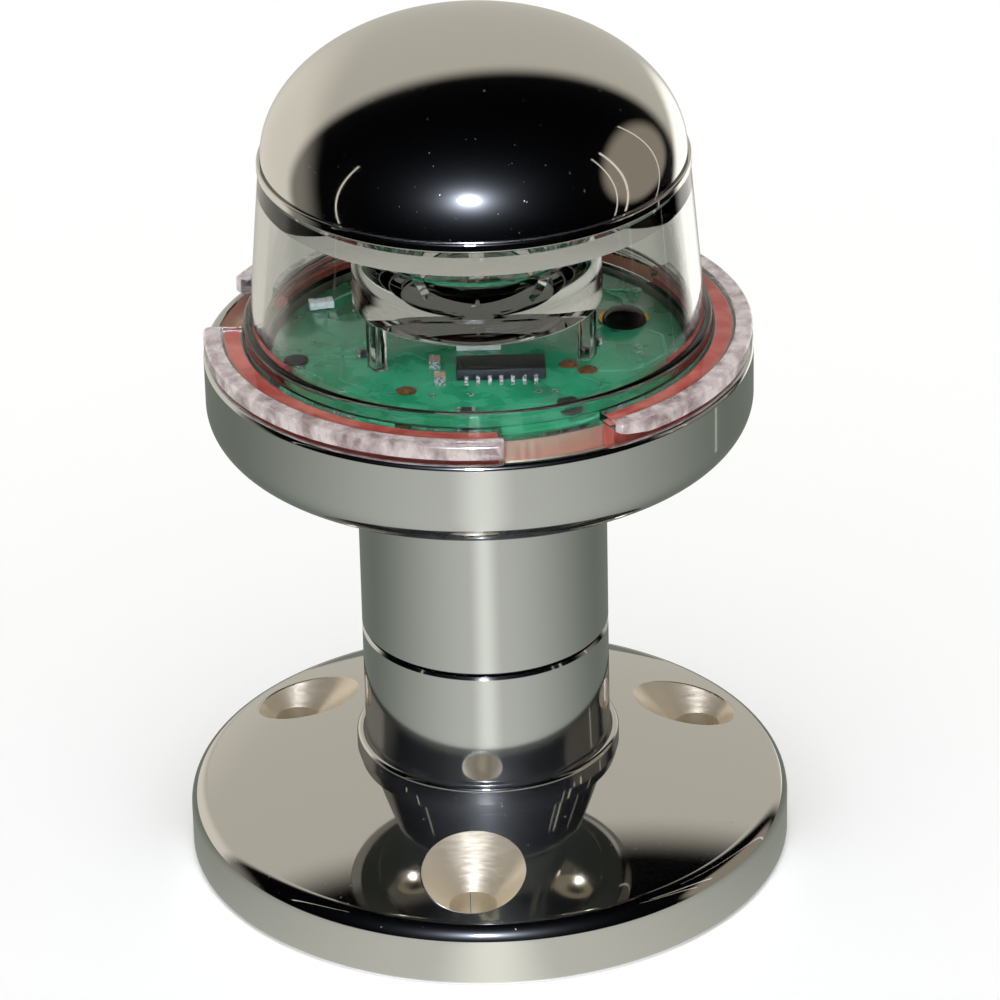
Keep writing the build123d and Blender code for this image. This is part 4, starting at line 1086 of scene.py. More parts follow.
class NAVLIGHT_OT_cup(bpy.types.Operator):
    """Builds the cup on top of the stem, with the gasket's channel and the lip's rough recesses"""
    bl_idname = "navlight.cup"
    bl_label = "Cup"

    def execute(self, context):
        p, s, lens = sizes("navlight_pan"), sizes("navlight_stem"), sizes("navlight_lens")
        foot, cast = foot_of("head_pan"), top_of("head_pan")
        deep = lens.flange_level - lens.skirt_depth
        outline = pan_outline(p, s, foot, cast, deep)
        mesh = turned("head_pan", outline)
        lug_level = deep + 0.1
        tools = []
        for third in THIRDS:
            notch = lens.first_notch + third
            tools.append(sector(p.lip_radius - p.recess_depth, p.lip_radius + 1, foot + p.recess_margin,
                                foot + p.lip_height - p.recess_margin, notch, lens.notch_width, steps=32))
            entry = notch + 60 + lens.twist
            tools.append(sector(p.bore - 0.5, p.way_radius - 0.05, lug_level, cast + 1, entry, p.way_entry))
        mesh = cut(mesh, *tools)
        dress_with_lips(mesh, [Surface(outline)])
        self.zone_faces(mesh, p, foot)
        finished("head_pan_polished", mesh, "head", "polished_steel",
                 [FINISHES["buffed"], FINISHES["cast"], FINISHES["pitted"]], "head_pan")
        return {"FINISHED"}

    def zone_faces(self, mesh, p, foot):
        """The casting's own skin shows in the channel and in the lip's recesses."""
        rim = foot + p.height
        recess_out, recess_in = p.lip_radius - p.recess_depth / 2, p.lip_radius - p.recess_depth - 0.1
        for face in mesh.polygons:
            centre = face.center / MM
            radius = centre.xy.length
            in_lip = foot + p.recess_margin / 2 < centre.z < foot + p.lip_height
            in_channel = radius < p.radius - p.rim_width + 0.01 and centre.z > rim - p.channel_depth - 0.1
            in_cup = radius < p.ring_radius and centre.z > foot + p.floor - 0.1
            if in_lip and recess_in < radius < recess_out:
                face.material_index = 2
            else:
                face.material_index = int(in_channel or in_cup)


class NAVLIGHT_OT_clamp(bpy.types.Operator):
    """Gives the washer, the slotted nut, the moulded carrier, the leads and the terminal block their finishes"""
    bl_idname = "navlight.clamp"
    bl_label = "Clamp and wiring"

    def execute(self, context):
        for node, finish in (("stem_washer", "turned"), ("stem_ring_nut", "turned"), ("board_carrier", "nylon_black"),
                             ("lead_red", "pvc_red"), ("lead_black", "pvc_black"), ("lead_sleeve", "rubber"),
                             ("terminal_block", "nylon_white"), ("terminal_screws", "turned")):
            repaint(node, FINISHES[finish])
        return {"FINISHED"}


# Lens, gasket and cap

def lens_outline(n, deep):
    """The lens's outline: skirt, flange over the gasket, foot, sloped wall and neck."""
    flange_top = n.flange_level + n.flange
    foot_top = flange_top + n.foot_height
    shoulder = foot_top + n.cone_height
    neck_top = shoulder + n.neck_height
    skirt_inner = n.skirt_radius - n.skirt_wall
    seat_in, seat_out = n.gasket_inner - 0.05, n.gasket_outer + 0.05
    soft = 0.12
    out = Outline()
    out.line((skirt_inner, deep), (n.skirt_radius, deep), (n.skirt_radius, n.flange_level),
             (seat_in, n.flange_level), (seat_in, n.flange_level + n.rebate), (seat_out, n.flange_level + n.rebate),
             (seat_out, n.flange_level), (n.gasket_outer + n.rub_and_highlight_margin, n.flange_level),
             (n.flange_radius - soft, n.flange_level))
    out.arc((n.flange_radius - soft, n.flange_level + soft), soft, -90, 0, 4)
    out.line((n.flange_radius, n.flange_level + soft), (n.flange_radius, flange_top - n.flange_round))
    out.arc((n.flange_radius - n.flange_round, flange_top - n.flange_round), n.flange_round, 0, 90, 8)
    fillet = 0.25
    out.line((n.flange_radius - n.flange_round, flange_top), (n.gasket_outer + n.rub_and_highlight_margin, flange_top),
             (n.foot_radius + fillet, flange_top))
    out.arc((n.foot_radius + fillet, flange_top + fillet), fillet, 270, 180, 6)
    out.line((n.foot_radius, flange_top + fillet), (n.foot_radius, foot_top - n.foot_round))
    out.arc((n.foot_radius - n.foot_round, foot_top - n.foot_round), n.foot_round, 0, 90, 8)
    out.line((n.foot_radius - n.foot_round, foot_top), (n.base_radius, foot_top), (n.top_radius, shoulder),
             (n.neck_radius, shoulder), (n.neck_radius, neck_top), (n.neck_radius - n.neck_wall, neck_top),
             (n.neck_radius - n.neck_wall, shoulder - n.wall), (n.top_radius - n.wall, shoulder - 2 * n.wall),
             (n.base_radius - n.wall, foot_top), (skirt_inner, n.flange_level), (skirt_inner, deep))
    return out


def ramp_tool(n, angle):
    """A wedge that lifts the flange's underside where a flange segment starts."""
    run = n.flange_radius * radians(n.ramp_angle)
    slope = atan2(n.ramp_rise, run)
    mesh = bpy.data.meshes.new("ramp")
    inner = n.foot_radius + 0.1
    wide = n.flange_radius - inner + 2
    corners = [(x, y, z) for z in (-2.0, 0.0) for x, y in ((0, -run), (wide, -run), (wide, run), (0, run))]
    mesh.from_pydata(corners, [], [(3, 2, 1, 0), (4, 5, 6, 7), (0, 1, 5, 4), (1, 2, 6, 5), (2, 3, 7, 6), (3, 0, 4, 7)])
    mesh.transform(Matrix.Scale(MM, 4) @ Matrix.Rotation(radians(angle), 4, "Z")
                   @ Matrix.Translation((inner, run, n.flange_level)) @ Matrix.Rotation(-slope, 4, "X")
                   @ Matrix.Translation((0, -run, 0)))
    return mesh


class NAVLIGHT_OT_lens(bpy.types.Operator):
    """Builds the clear lens with its notched flange and the lead-in ramps under it"""
    bl_idname = "navlight.lens"
    bl_label = "Lens"

    def execute(self, context):
        n = sizes("navlight_lens")
        deep = n.flange_level - n.skirt_depth
        outline = lens_outline(n, deep)
        mesh = turned("lens", outline)
        notch_floor = n.foot_radius + 0.1
        tools = []
        for third in THIRDS:
            angle = n.first_notch + third
            tools.append(sector(notch_floor, n.flange_radius, n.flange_level - 1, n.flange_level + n.flange + 1,
                                angle, n.notch_width, corner=n.end_round))
            tools.append(ramp_tool(n, angle + n.notch_width / 2))
        mesh = cut(mesh, *tools)
        floor = Outline().line((notch_floor, n.flange_level - 1), (notch_floor, n.flange_level + n.flange + 1))
        dress_with_lips(mesh, [Surface(outline), Surface(floor)])
        for face in mesh.polygons:
            # the flange's outer band takes the worn finish with its painted highlights
            centre = face.center / MM
            rubbed_and_highlit = centre.xy.length > n.gasket_outer + n.rub_and_highlight_margin and centre.z < n.flange_level + n.flange + 0.01
            face.material_index = int(rubbed_and_highlit)
        finished("lens_moulded", mesh, "lens_group", "clear_acrylic", [FINISHES["lens"], FINISHES["scuffed"]], "lens")
        return {"FINISHED"}


def lug_tree():
    """A node tree that sets the same lug round an axis: the lug, their number and the first angle are inputs."""
    tree, sockets, given = new_tree("lugs_round_the_skirt", Lug=("Object",), Count=("Int",),
                                    First_Angle=("Float",), Finish=("Material",))
    places = add_node(tree, "GeometryNodePoints", {"Count": given["Count"]})
    lug = add_node(tree, "GeometryNodeObjectInfo", {"Object": given["Lug"]})
    number = add_node(tree, "GeometryNodeInputIndex")
    step = add_node(tree, "ShaderNodeMath", {0: 2 * pi, 1: given["Count"]}, operation="DIVIDE")
    angle = add_node(tree, "ShaderNodeMath", {0: number.outputs[0], 1: step.outputs[0], 2: given["First Angle"]},
                     operation="MULTIPLY_ADD")
    spin = add_node(tree, "ShaderNodeCombineXYZ", {2: angle.outputs[0]})
    set_round = add_node(tree, "GeometryNodeInstanceOnPoints", {
        "Points": places.outputs[0], "Instance": lug.outputs["Geometry"], "Rotation": spin.outputs[0]})
    close_tree(tree, set_round.outputs["Instances"], given["Finish"])
    return tree, sockets


class NAVLIGHT_OT_lugs(bpy.types.Operator):
    """Builds the bayonet lugs on the lens skirt"""
    bl_idname = "navlight.lugs"
    bl_label = "Bayonet lugs"

    def execute(self, context):
        n = sizes("navlight_lens")
        low = n.flange_level - n.skirt_depth + 0.1
        lug = sector(n.skirt_radius - 0.3, n.skirt_radius + n.lug_reach, low, low + n.lug_height, 0, n.lug_width)
        lug = evaluated("lug", lug, ("BEVEL", {"width": 0.1 * MM, "segments": 2, "limit_method": "ANGLE"}))
        master = linked("lug_master", lug)
        tree, sockets = lug_tree()
        mesh = grown("lens_lugs", tree, sockets, {
            "Lug": master, "Count": len(THIRDS), "First Angle": radians(n.first_notch + 60),
            "Finish": FINISHES["acrylic"]})
        bpy.data.objects.remove(master)
        finished("lens_lugs", eased(mesh), "lens_group", "clear_acrylic", [FINISHES["acrylic"]])
        return {"FINISHED"}


class NAVLIGHT_OT_gasket(bpy.types.Operator):
    """Builds the red gasket, thin where the flange is notched"""
    bl_idname = "navlight.gasket"
    bl_label = "Gasket"

    def execute(self, context):
        n = sizes("navlight_lens")
        low, high = n.gasket_level, top_of("lens_gasket")
        soft = 0.2
        inner, outer = n.gasket_inner, n.gasket_outer
        out = Outline()
        out.line((inner, low), (outer, low), (outer, high - soft))
        out.arc((outer - soft, high - soft), soft, 0, 90, 5)
        out.line((outer - soft, high), (inner + soft, high))
        out.arc((inner + soft, high - soft), soft, 90, 180, 5)
        out.line((inner, high - soft), (inner, low))
        mesh = turned("gasket", out, MEDIUM)
        tools = [sector(inner - 1, outer + 1, low + n.gasket_foot, high + 1, n.first_notch + third,
                        n.notch_width + 2) for third in THIRDS]
        mesh = cut(mesh, *tools)
        dress_with_lips(mesh, [Surface(out)])
        finished("lens_gasket_moulded", mesh, "lens_group", "red_silicone", [FINISHES["silicone"]], "lens_gasket")
        return {"FINISHED"}


class NAVLIGHT_OT_cap(bpy.types.Operator):
    """Builds the polished dome cap and gives its seal its finish"""
    bl_idname = "navlight.cap"
    bl_label = "Dome cap"

    def execute(self, context):
        c, n = sizes("navlight_cap"), sizes("navlight_lens")
        low, top = foot_of("dome_cap"), top_of("dome_cap")
        seal, bore = n.neck_radius + c.seal_width, n.neck_radius + 0.05
        lip_top = low + c.lip_height
        neck_top = low + n.neck_height + 0.1
        edge = c.lip_round
        out = Outline()
        out.line((seal, low), (c.lip_radius - edge, low))
        out.arc((c.lip_radius - edge, low + edge), edge, -90, 0, 5)
        out.line((c.lip_radius, low + edge), (c.lip_radius, lip_top - edge))
        out.arc((c.lip_radius - edge, lip_top - edge), edge, 0, 90, 5)
        out.line((c.lip_radius - edge, lip_top), (c.radius, lip_top))
        out.bow((c.radius, lip_top), (0, top), (c.radius, top), 96)
        out.bow((0, top - c.wall), (bore, neck_top), (bore, top - c.wall), 32)
        out.line((bore, neck_top), (bore, low + c.seal_width), (seal, low + c.seal_width), (seal, low))
        finished("dome_cap_polished", turned("dome_cap", out), "lens_group", "polished_steel",
                 [FINISHES["polished"]], "dome_cap")
        repaint("cap_seal_ring", FINISHES["rubber"])
        return {"FINISHED"}


# Board and what stands on it

def strip(points, width, low, high):
    """A flat track along a bent line, in metres."""
    line = [Vector(p) for p in points]
    left, right = [], []
    for at, point in enumerate(line):
        before = (point - line[at - 1]).normalized() if at else (line[1] - point).normalized()
        after = (line[at + 1] - point).normalized() if at + 1 < len(line) else before
        middle = (before + after).normalized()
        side = Vector((-middle.y, middle.x)) * (width / 2 / max(middle.dot(after), 0.3))
        left.append(point + side)
        right.append(point - side)
    flat = left + right[::-1]
    count = len(flat)
    corners = [(p.x * MM, p.y * MM, z * MM) for z in (low, high) for p in flat]
    faces = [[i, i + 1, count - 2 - i, count - 1 - i] for i in range(len(line) - 1)]
    below = [face[::-1] for face in faces]
    above = [[count + i for i in face] for face in faces]
    walls = [[i, (i + 1) % count, count + (i + 1) % count, count + i] for i in range(count)]
    mesh = bpy.data.meshes.new("strip")
    # the outline runs clockwise, so the faces are turned over
    mesh.from_pydata(corners, [], [face[::-1] for face in below + above + walls])
    return mesh


# The tracks' bends and the plated holes, in millimetres; the first of the holes are where tracks end.
TRACKS = (
    ((-7.4, -12.9), (-11.5, -12.9), (-15.2, -9.2), (-15.2, 1.5), (-17.4, 3.7), (-17.4, 8.9)),
    ((-7.0, -11.4), (-5.6, -10.4), (-2.6, -10.4)),
    ((-4.9, -5.2), (-7.5, -2.6), (-11.3, -2.6)),
    ((-13.6, -3.2), (-19.6, -3.2)),
    ((11.0, -9.4), (13.2, -11.6), (13.2, -15.4), (10.6, -18.0), (3.0, -18.0), (0.0, -19.4)),
    ((10.6, -5.8), (12.8, -3.6), (12.8, -2.6)),
    ((12.8, -0.4), (12.8, 2.0), (14.6, 3.8)),
    ((16.9, 8.2), (16.9, 10.6), (14.2, 13.3), (11.4, 13.3)),
    ((9.4, 12.3), (5.2, 16.5), (3.6, 17.0)),
    ((1.4, 17.0), (-5.0, 17.0), (-7.9, 15.6)),
    ((-10.1, 15.5), (-13.2, 15.5), (-17.0, 11.7)),
    ((-2.0, 14.2), (-2.0, 19.6)),
    ((-2.7, -19.4), (-8.8, -19.4), (-13.4, -14.8), (-13.4, -14.0)),
    ((19.3, 1.6), (20.6, 0.3), (20.6, -5.0), (17.0, -8.6), (14.4, -8.6), (13.0, -8.4)),
    ((-19.8, -6.2), (-17.2, -8.8), (-17.2, -11.6), (-15.0, -13.8)),
    ((5.5, 13.6), (8.4, 16.5), (11.2, 16.5), (14.8, 12.9), (18.6, 12.9)),
)
VIAS = ((-19.6, -3.2), (-2.0, 19.6), (-13.4, -14.0), (-19.8, -6.2), (5.5, 13.6), (18.6, 12.9), (-15.0, -13.8),
        (-5.2, -13.8), (6.4, -13.4), (8.2, -13.4), (-1.0, -13.8), (-10.4, 8.8), (-12.2, 8.8), (-14.0, 8.8),
        (17.8, -2.6), (17.8, -4.4), (6.2, 19.4), (-8.6, 19.0), (14.6, -12.8), (-18.6, 0.6))
TRACK_ENDS = 7
POST_ANGLES = (-168, -62, 72)   # degrees, of the moulded posts that hold the board
LEG_ANGLES = (-150, -22, 90)    # degrees, of the optic's legs
CHIP_PINS = 7                   # in each of the two rows
PIN_PITCH = 1.27
FUSE_LEAN = 12                  # degrees that the fuse is turned on the board


def via_tree():
    """A node tree that sets a plated hole on every point: the hole's radius, height and plating are inputs."""
    tree, sockets, given = new_tree("plated_holes", Points=("Geometry",), Radius=("Float",), Height=("Float",),
                                    Plating=("Material",))
    outer = add_node(tree, "GeometryNodeCurvePrimitiveCircle", {"Resolution": 20, "Radius": given["Radius"]})
    third = add_node(tree, "ShaderNodeMath", {0: given["Radius"], 1: 0.3}, operation="MULTIPLY")
    section = add_node(tree, "GeometryNodeCurvePrimitiveCircle", {"Resolution": 6, "Radius": third.outputs[0]})
    ring = add_node(tree, "GeometryNodeCurveToMesh", {"Curve": outer.outputs["Curve"],
                                                      "Profile Curve": section.outputs["Curve"]})
    low = add_node(tree, "ShaderNodeMath", {0: given["Height"], 1: third.outputs[0]}, operation="DIVIDE")
    flat = add_node(tree, "ShaderNodeCombineXYZ", {0: 1.0, 1: 1.0, 2: low.outputs[0]})
    pressed = add_node(tree, "GeometryNodeTransform", {"Geometry": ring.outputs["Mesh"], "Scale": flat.outputs[0]})
    set_out = add_node(tree, "GeometryNodeInstanceOnPoints", {"Points": given["Points"],
                                                              "Instance": pressed.outputs["Geometry"]})
    close_tree(tree, set_out.outputs["Instances"], given["Plating"])
    return tree, sockets


class NAVLIGHT_OT_board(bpy.types.Operator):
    """Builds the circuit board with its tracks and plated holes"""
    bl_idname = "navlight.board"
    bl_label = "Circuit board"

    def execute(self, context):
        b = sizes("navlight_board")
        high = foot_of("led_emitter")
        low = high - b.thickness
        edge = b.edge
        out = Outline().line((0, low), (b.radius - edge, low), (b.radius, low + edge), (b.radius, high - edge),
                             (b.radius - edge, high), (0, high))
        mesh = turned("board", out, MEDIUM)
        hole = Outline().line((0, low - 1), (b.post_hole, low - 1), (b.post_hole, high + 1), (0, high + 1))
        tools = [placed(turned("hole", hole, SMALL), *at_angle(b.post_circle, angle)) for angle in POST_ANGLES]
        mesh = cut(mesh, *tools)
        dress_with_lips(mesh, [Surface(out)])
        finished("circuit_board_laminate", mesh, "head", "green_board", [FINISHES["resist"]], "circuit_board")
        tracks = [strip(points, b.track_width, high - b.track_height, high + b.track_height) for points in TRACKS]
        pads = Outline().line((0, high), (0.75, high), (0.6, high + b.track_height), (0, high + b.track_height))
        lands = [placed(turned("land", pads, 20), x, y) for x, y in VIAS[:TRACK_ENDS]]
        finished("circuit_board_tracks", joined("tracks", *tracks, *lands), "head", "green_board",
                 [FINISHES["track"]])
        tree, sockets = via_tree()
        points = bpy.data.meshes.new("via_points")
        points.from_pydata([(x * MM, y * MM, (high + b.track_height) * MM) for x, y in VIAS], [], [])
        vias = grown("circuit_board_vias", tree, sockets, {
            "Radius": b.via_radius * MM, "Height": b.track_height * MM, "Plating": FINISHES["tinned"]}, points)
        finished("circuit_board_vias", eased(vias), "head", "tinned", [FINISHES["tinned"]])
        return {"FINISHED"}


def pin_row_tree():
    """A node tree that sets a pin in two rows: the pin, their number, pitch and the rows' middle are inputs."""
    tree, sockets, given = new_tree("chip_pins", Pin=("Object",), Count=("Int",), Pitch=("Float",),
                                    Middle=("Vector",), Finish=("Material",))
    gaps = add_node(tree, "ShaderNodeMath", {0: given["Count"], 1: 1.0}, operation="SUBTRACT")
    span = add_node(tree, "ShaderNodeMath", {0: gaps.outputs[0], 1: given["Pitch"]}, operation="MULTIPLY")
    back = add_node(tree, "ShaderNodeMath", {0: span.outputs[0], 1: -0.5}, operation="MULTIPLY")
    start = add_node(tree, "ShaderNodeCombineXYZ", {0: back.outputs[0]})
    step = add_node(tree, "ShaderNodeCombineXYZ", {0: given["Pitch"]})
    row = add_node(tree, "GeometryNodeMeshLine", {"Count": given["Count"], "Start Location": start.outputs[0],
                                                  "Offset": step.outputs[0]})
    pin = add_node(tree, "GeometryNodeObjectInfo", {"Object": given["Pin"]})
    front = add_node(tree, "GeometryNodeInstanceOnPoints", {"Points": row.outputs[0],
                                                            "Instance": pin.outputs["Geometry"]})
    behind = add_node(tree, "GeometryNodeTransform", {"Geometry": front.outputs["Instances"],
                                                      "Rotation": (0.0, 0.0, pi)})
    both = add_node(tree, "GeometryNodeJoinGeometry")
    tree.links.new(front.outputs["Instances"], both.inputs[0])
    tree.links.new(behind.outputs["Geometry"], both.inputs[0])
    moved = add_node(tree, "GeometryNodeTransform", {"Geometry": both.outputs["Geometry"],
                                                     "Translation": given["Middle"]})
    close_tree(tree, moved.outputs["Geometry"], given["Finish"])
    return tree, sockets


def gull_wing(half, drop):
    """One bent chip pin that leaves the package's side towards -Y, as a mesh in metres."""
    wide, thick = 0.42 / 2, 0.16
    inner, outer = half - 0.15, half + 0.95
    path = [(-inner, drop), (-inner - 0.4, drop), (-inner - 0.6, thick), (-outer, thick)]
    under = [(y, z - thick) for y, z in path]
    loop = path + under[::-1]
    corners = [(x * MM, y * MM, z * MM) for x in (-wide, wide) for y, z in loop]
    count = len(loop)
    faces = [[i, (i + 1) % count, count + (i + 1) % count, count + i] for i in range(count)]
    for i in range(len(path) - 1):
        quad = [i, i + 1, count - 2 - i, count - 1 - i]
        faces += [quad[::-1], [count + k for k in quad]]
    mesh = bpy.data.meshes.new("pin")
    mesh.from_pydata(corners, [], faces)
    return mesh


class NAVLIGHT_OT_chip(bpy.types.Operator):
    """Builds the driver chip and its pins"""
    bl_idname = "navlight.chip"
    bl_label = "Driver chip"

    def execute(self, context):
        level = foot_of("driver_chip")
        low, high = (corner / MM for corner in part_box("driver_chip"))
        middle = (low + high) / 2
        size = high - low
        body = brick((middle.x, middle.y), (size.x, size.y, size.z - 0.15), level + 0.15, 0.18)
        dimple = Outline().line((0, high.z - 0.08), (0.4, high.z - 0.08), (0.4, high.z + 1), (0, high.z + 1))
        body = cut(body, placed(turned("dimple", dimple, 24), low.x + 1.0, low.y + 0.9))
        finished("driver_chip_moulded", eased(body), "head", "chip_black", [FINISHES["epoxy"]], "driver_chip")
        pin = linked("pin_master", gull_wing(size.y / 2, 0.75))
        tree, sockets = pin_row_tree()
        mesh = grown("driver_chip_pins_bent", tree, sockets, {
            "Pin": pin, "Count": CHIP_PINS, "Pitch": PIN_PITCH * MM,
            "Middle": (middle.x * MM, middle.y * MM, level * MM), "Finish": FINISHES["tinned"]})
        bpy.data.objects.remove(pin)
        finished("driver_chip_pins_bent", mesh, "head", "tinned", [FINISHES["tinned"]], "driver_chip_pins")
        return {"FINISHED"}


def chip_part(place, size, level, cap, along_x):
    """A chip resistor or capacitor: a body in zone 0 between two tinned ends in zone 1."""
    x, y = place
    body = brick(place, (size[0] - (cap if along_x else 0.08), size[1] - (0.08 if along_x else cap), size[2] - 0.06),
                 level, 0.05)
    shift = (size[0] if along_x else size[1]) / 2 - cap / 2
    end_size = (cap, size[1], size[2]) if along_x else (size[0], cap, size[2])
    ends = [brick((x + side * shift * along_x, y + side * shift * (not along_x)), end_size, level, 0.08)
            for side in (-1, 1)]
    for end in ends:
        end.polygons.foreach_set("material_index", [1] * len(end.polygons))
    return [body, *ends]


class NAVLIGHT_OT_board_parts(bpy.types.Operator):
    """Builds the chip capacitors, chip resistors, fuse, solder joints, resin drop and diode"""
    bl_idname = "navlight.board_parts"
    bl_label = "Small parts"

    def execute(self, context):
        level = foot_of("led_emitter")
        groups = (
            ("chip_capacitors_fired", ((-4.3, -10.4), (-4.9, -6.2), (-2.0, 13.0), (10.5, 12.5)), (1.25, 2.0, 1.0),
             False, "capacitor_tan", "ceramic_tan", "chip_capacitors"),
            ("chip_resistors_fired", ((-12.5, -3.0), (12.8, -1.5), (-9.0, 15.5), (2.5, 17.0), (-1.5, -19.4)),
             (2.0, 1.25, 0.5), True, "chip_black", "epoxy", "chip_resistors"))
        for name, places, size, along_x, slot, finish, node in groups:
            parts = [part for place in places for part in chip_part(place, size, level, 0.4, along_x)]
            finished(name, eased(joined(name, *parts)), "head", slot, [FINISHES[finish], FINISHES["tinned"]], node)
        low, high = (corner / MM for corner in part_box("surface_fuse"))
        middle = (low + high) / 2
        fuse = brick((0, 0), (2.9 - 0.7, 1.4, 0.84), level, 0.08, FUSE_LEAN)
        ends = [brick(at_angle(side * 1.1, FUSE_LEAN), (0.7, 1.5, 0.9), level, 0.1, FUSE_LEAN) for side in (-1, 1)]
        fuse = placed(joined("fuse", fuse, *ends), middle.x, middle.y)
        finished("surface_fuse_glazed", eased(fuse), "head", "ceramic_white", [FINISHES["ceramic_white"]],
                 "surface_fuse")
        joints = []
        for x, y in ((-8.0, -12.4), (11.9, -8.2), (9.9, -6.6)):
            out = Outline().soft([(0, level), (1.2, level), (1.05, level + 0.1), (0.55, level + 0.33),
                                  (0.0, level + 0.35)], 0.15, 3)
            joints.append(placed(turned("joint", out, 32), x, y))
        finished("solder_joints_fluxed", eased(joined("joints", *joints), 60), "head", "solder_brown",
                 [FINISHES["flux"]], "solder_joints")
        self.drop(level)
        self.diode(level)
        return {"FINISHED"}

    def drop(self, level):
        low, high = (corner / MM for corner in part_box("resin_drop"))
        middle, radius = (low + high) / 2, (high.x - low.x) / 2
        out = Outline().line((0, low.z), (radius, low.z)).bow((radius, low.z), (0, high.z), (radius, high.z), 24)
        finished("resin_drop_cured", placed(turned("drop", out, 96), middle.x, middle.y), "head", "resin_black",
                 [FINISHES["resin"]], "resin_drop")
        low, high = (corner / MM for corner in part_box("drop_pad"))
        middle, radius = (low + high) / 2, (high.x - low.x) / 2
        out = Outline().soft([(0, level), (radius, level), (radius, high.z), (0, high.z)], 0.06, 3)
        finished("drop_pad_plated", placed(turned("pad", out, 64), middle.x, middle.y), "head", "gold_pad",
                 [FINISHES["gold"]], "drop_pad")

    def diode(self, level):
        low, high = (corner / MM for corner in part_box("led_emitter"))
        side = high.x - low.x
        dome = 2.0
        body = brick((0, 0), (side, side, high.z - dome - level), level, 0.12)
        foot = high.z - dome
        out = Outline().line((0, foot - 0.1), (dome, foot - 0.1), (dome, foot)).arc((0, foot), dome, 0, 90, 16)
        lens = turned("dome", out, 64)
        lens.polygons.foreach_set("material_index", [1] * len(lens.polygons))
        finished("led_emitter_dome", eased(joined("led", body, lens)), "head", "led_yellow",
                 [FINISHES["ceramic_white"], FINISHES["phosphor"]], "led_emitter")


class NAVLIGHT_OT_optic(bpy.types.Operator):
    """Builds the clear stepped optic on its three legs"""
    bl_idname = "navlight.optic"
    bl_label = "Optic"

    def execute(self, context):
        o = sizes("navlight_optic")
        board = foot_of("led_emitter")
        top = o.level + o.height
        shoulder = o.radius - o.shoulder
        drop = (o.height - o.web) / o.steps
        funnel = [(shoulder, top)]
        for step in range(o.steps):
            outer, low = shoulder - step * o.step_width, top - (step + 1) * drop
            funnel += [(outer - 0.4, low), (outer - o.step_width, low + 0.15)]
        middle = o.level + o.web - 0.4
        under = shoulder - o.steps * o.step_width
        funnel += [(0, middle)]
        out = Outline().soft(funnel, 0.22, 4)
        out.soft([(0, middle - o.web), (under, o.level - 0.4), (o.radius - 1.2, o.level - 0.4),
                  (o.radius, o.level), (o.radius, top - o.shoulder)], 0.3, 4)
        out.arc((shoulder, top - o.shoulder), o.shoulder, 0, 90, 20)
        mesh = turned("optic", out)
        tools = []
        for angle in LEG_ANGLES:
            place = at_angle(o.radius - o.leg_depth / 2 - 0.3, angle)
            tools.append(brick(place, (o.leg_depth, o.leg_width, o.level + 0.5 - board), board, 0.15, angle))
        mesh = cut(mesh, *tools, operation="UNION")
        dress_with_lips(mesh, [Surface(out)])
        finished("light_optic_moulded", mesh, "head", "clear_acrylic", [FINISHES["acrylic"]], "light_optic")
        return {"FINISHED"}


# Stage

def second_mirror(tree):
    """1 for a ray that has met at least two mirrors on its way from the camera, else 0; it sets where the painted shade
    of a second mirror falls.
    """
    depth = add_node(tree, "ShaderNodeLightPath").outputs["Glossy Depth"]
    return add_node(tree, "ShaderNodeMath", {0: depth, 1: 1.5}, operation="GREATER_THAN").outputs[0]


def studio_world():
    """A plain white room for the camera and for diffuse light, and pale cards on dark in the reflections, dimmed as
    painted shade in a mirror image of a mirror image.
    """
    world = bpy.data.worlds.new("studio")
    bpy.context.scene.world = world
    world.use_nodes = True
    world.cycles.sampling_method = "NONE"
    tree = world.node_tree
    tree.nodes.clear()
    way = add_node(tree, "ShaderNodeTexCoord").outputs["Generated"]
    total = None
    for azimuth, height, reach, soft, colour, strength in STUDIO_CARDS:
        around, up = radians(azimuth), radians(height)
        middle = (sin(around) * cos(up), -cos(around) * cos(up), sin(up))
        near = add_node(tree, "ShaderNodeVectorMath", {0: way, 1: middle}, operation="DOT_PRODUCT").outputs["Value"]
        share = add_node(tree, "ShaderNodeMapRange", {
            "Value": near, "From Min": cos(radians(reach + soft)), "From Max": cos(radians(max(reach - soft, 0)))},
            interpolation_type="SMOOTHSTEP").outputs["Result"]
        card = add_node(tree, "ShaderNodeVectorMath", {
            0: tuple(c * strength for c in linear(colour)[:3]), "Scale": share}, operation="SCALE").outputs[0]
        total = card if total is None else add_node(
            tree, "ShaderNodeVectorMath", {0: total, 1: card}, operation="ADD").outputs[0]
    path = add_node(tree, "ShaderNodeLightPath").outputs
    # painted shade: the cards lie dimmer in a mirror image of a mirror image
    room = add_node(tree, "ShaderNodeBackground", {
        "Color": total, "Strength": between(tree, second_mirror(tree), 1.0, ROOM_PAINTED_SHADE_TWICE)})
    white = add_node(tree, "ShaderNodeBackground", {"Color": (1.0, 1.0, 1.0, 1.0), "Strength": WHITE_STRENGTH})
    soft_light = add_node(tree, "ShaderNodeMath", {0: path["Is Camera Ray"], 1: path["Diffuse Depth"]},
                          operation="ADD", use_clamp=True).outputs[0]
    both = add_node(tree, "ShaderNodeMixShader", {0: soft_light, 1: room.outputs[0], 2: white.outputs[0]})
    add_node(tree, "ShaderNodeOutputWorld", {"Surface": both.outputs[0]})


# Each round card: the azimuth and height of its middle, its reach and the softness of its edge, all in degrees, then
# its colour and strength. Azimuth 0 is in front of the light, and 90 at its right.
STUDIO_CARDS = (
    (-170, -1, 58, 5, "#bdb9b0", 1.1),
    (-130, -8, 34, 10, "#c9c4ba", 0.4),
    (99, 8, 25, 4, "#8d857a", 1.1),
    (148, -16, 15, 5, "#f4f2ee", 1.0),
    (0, 0, 180, 1, "#161717", 1.0),
)
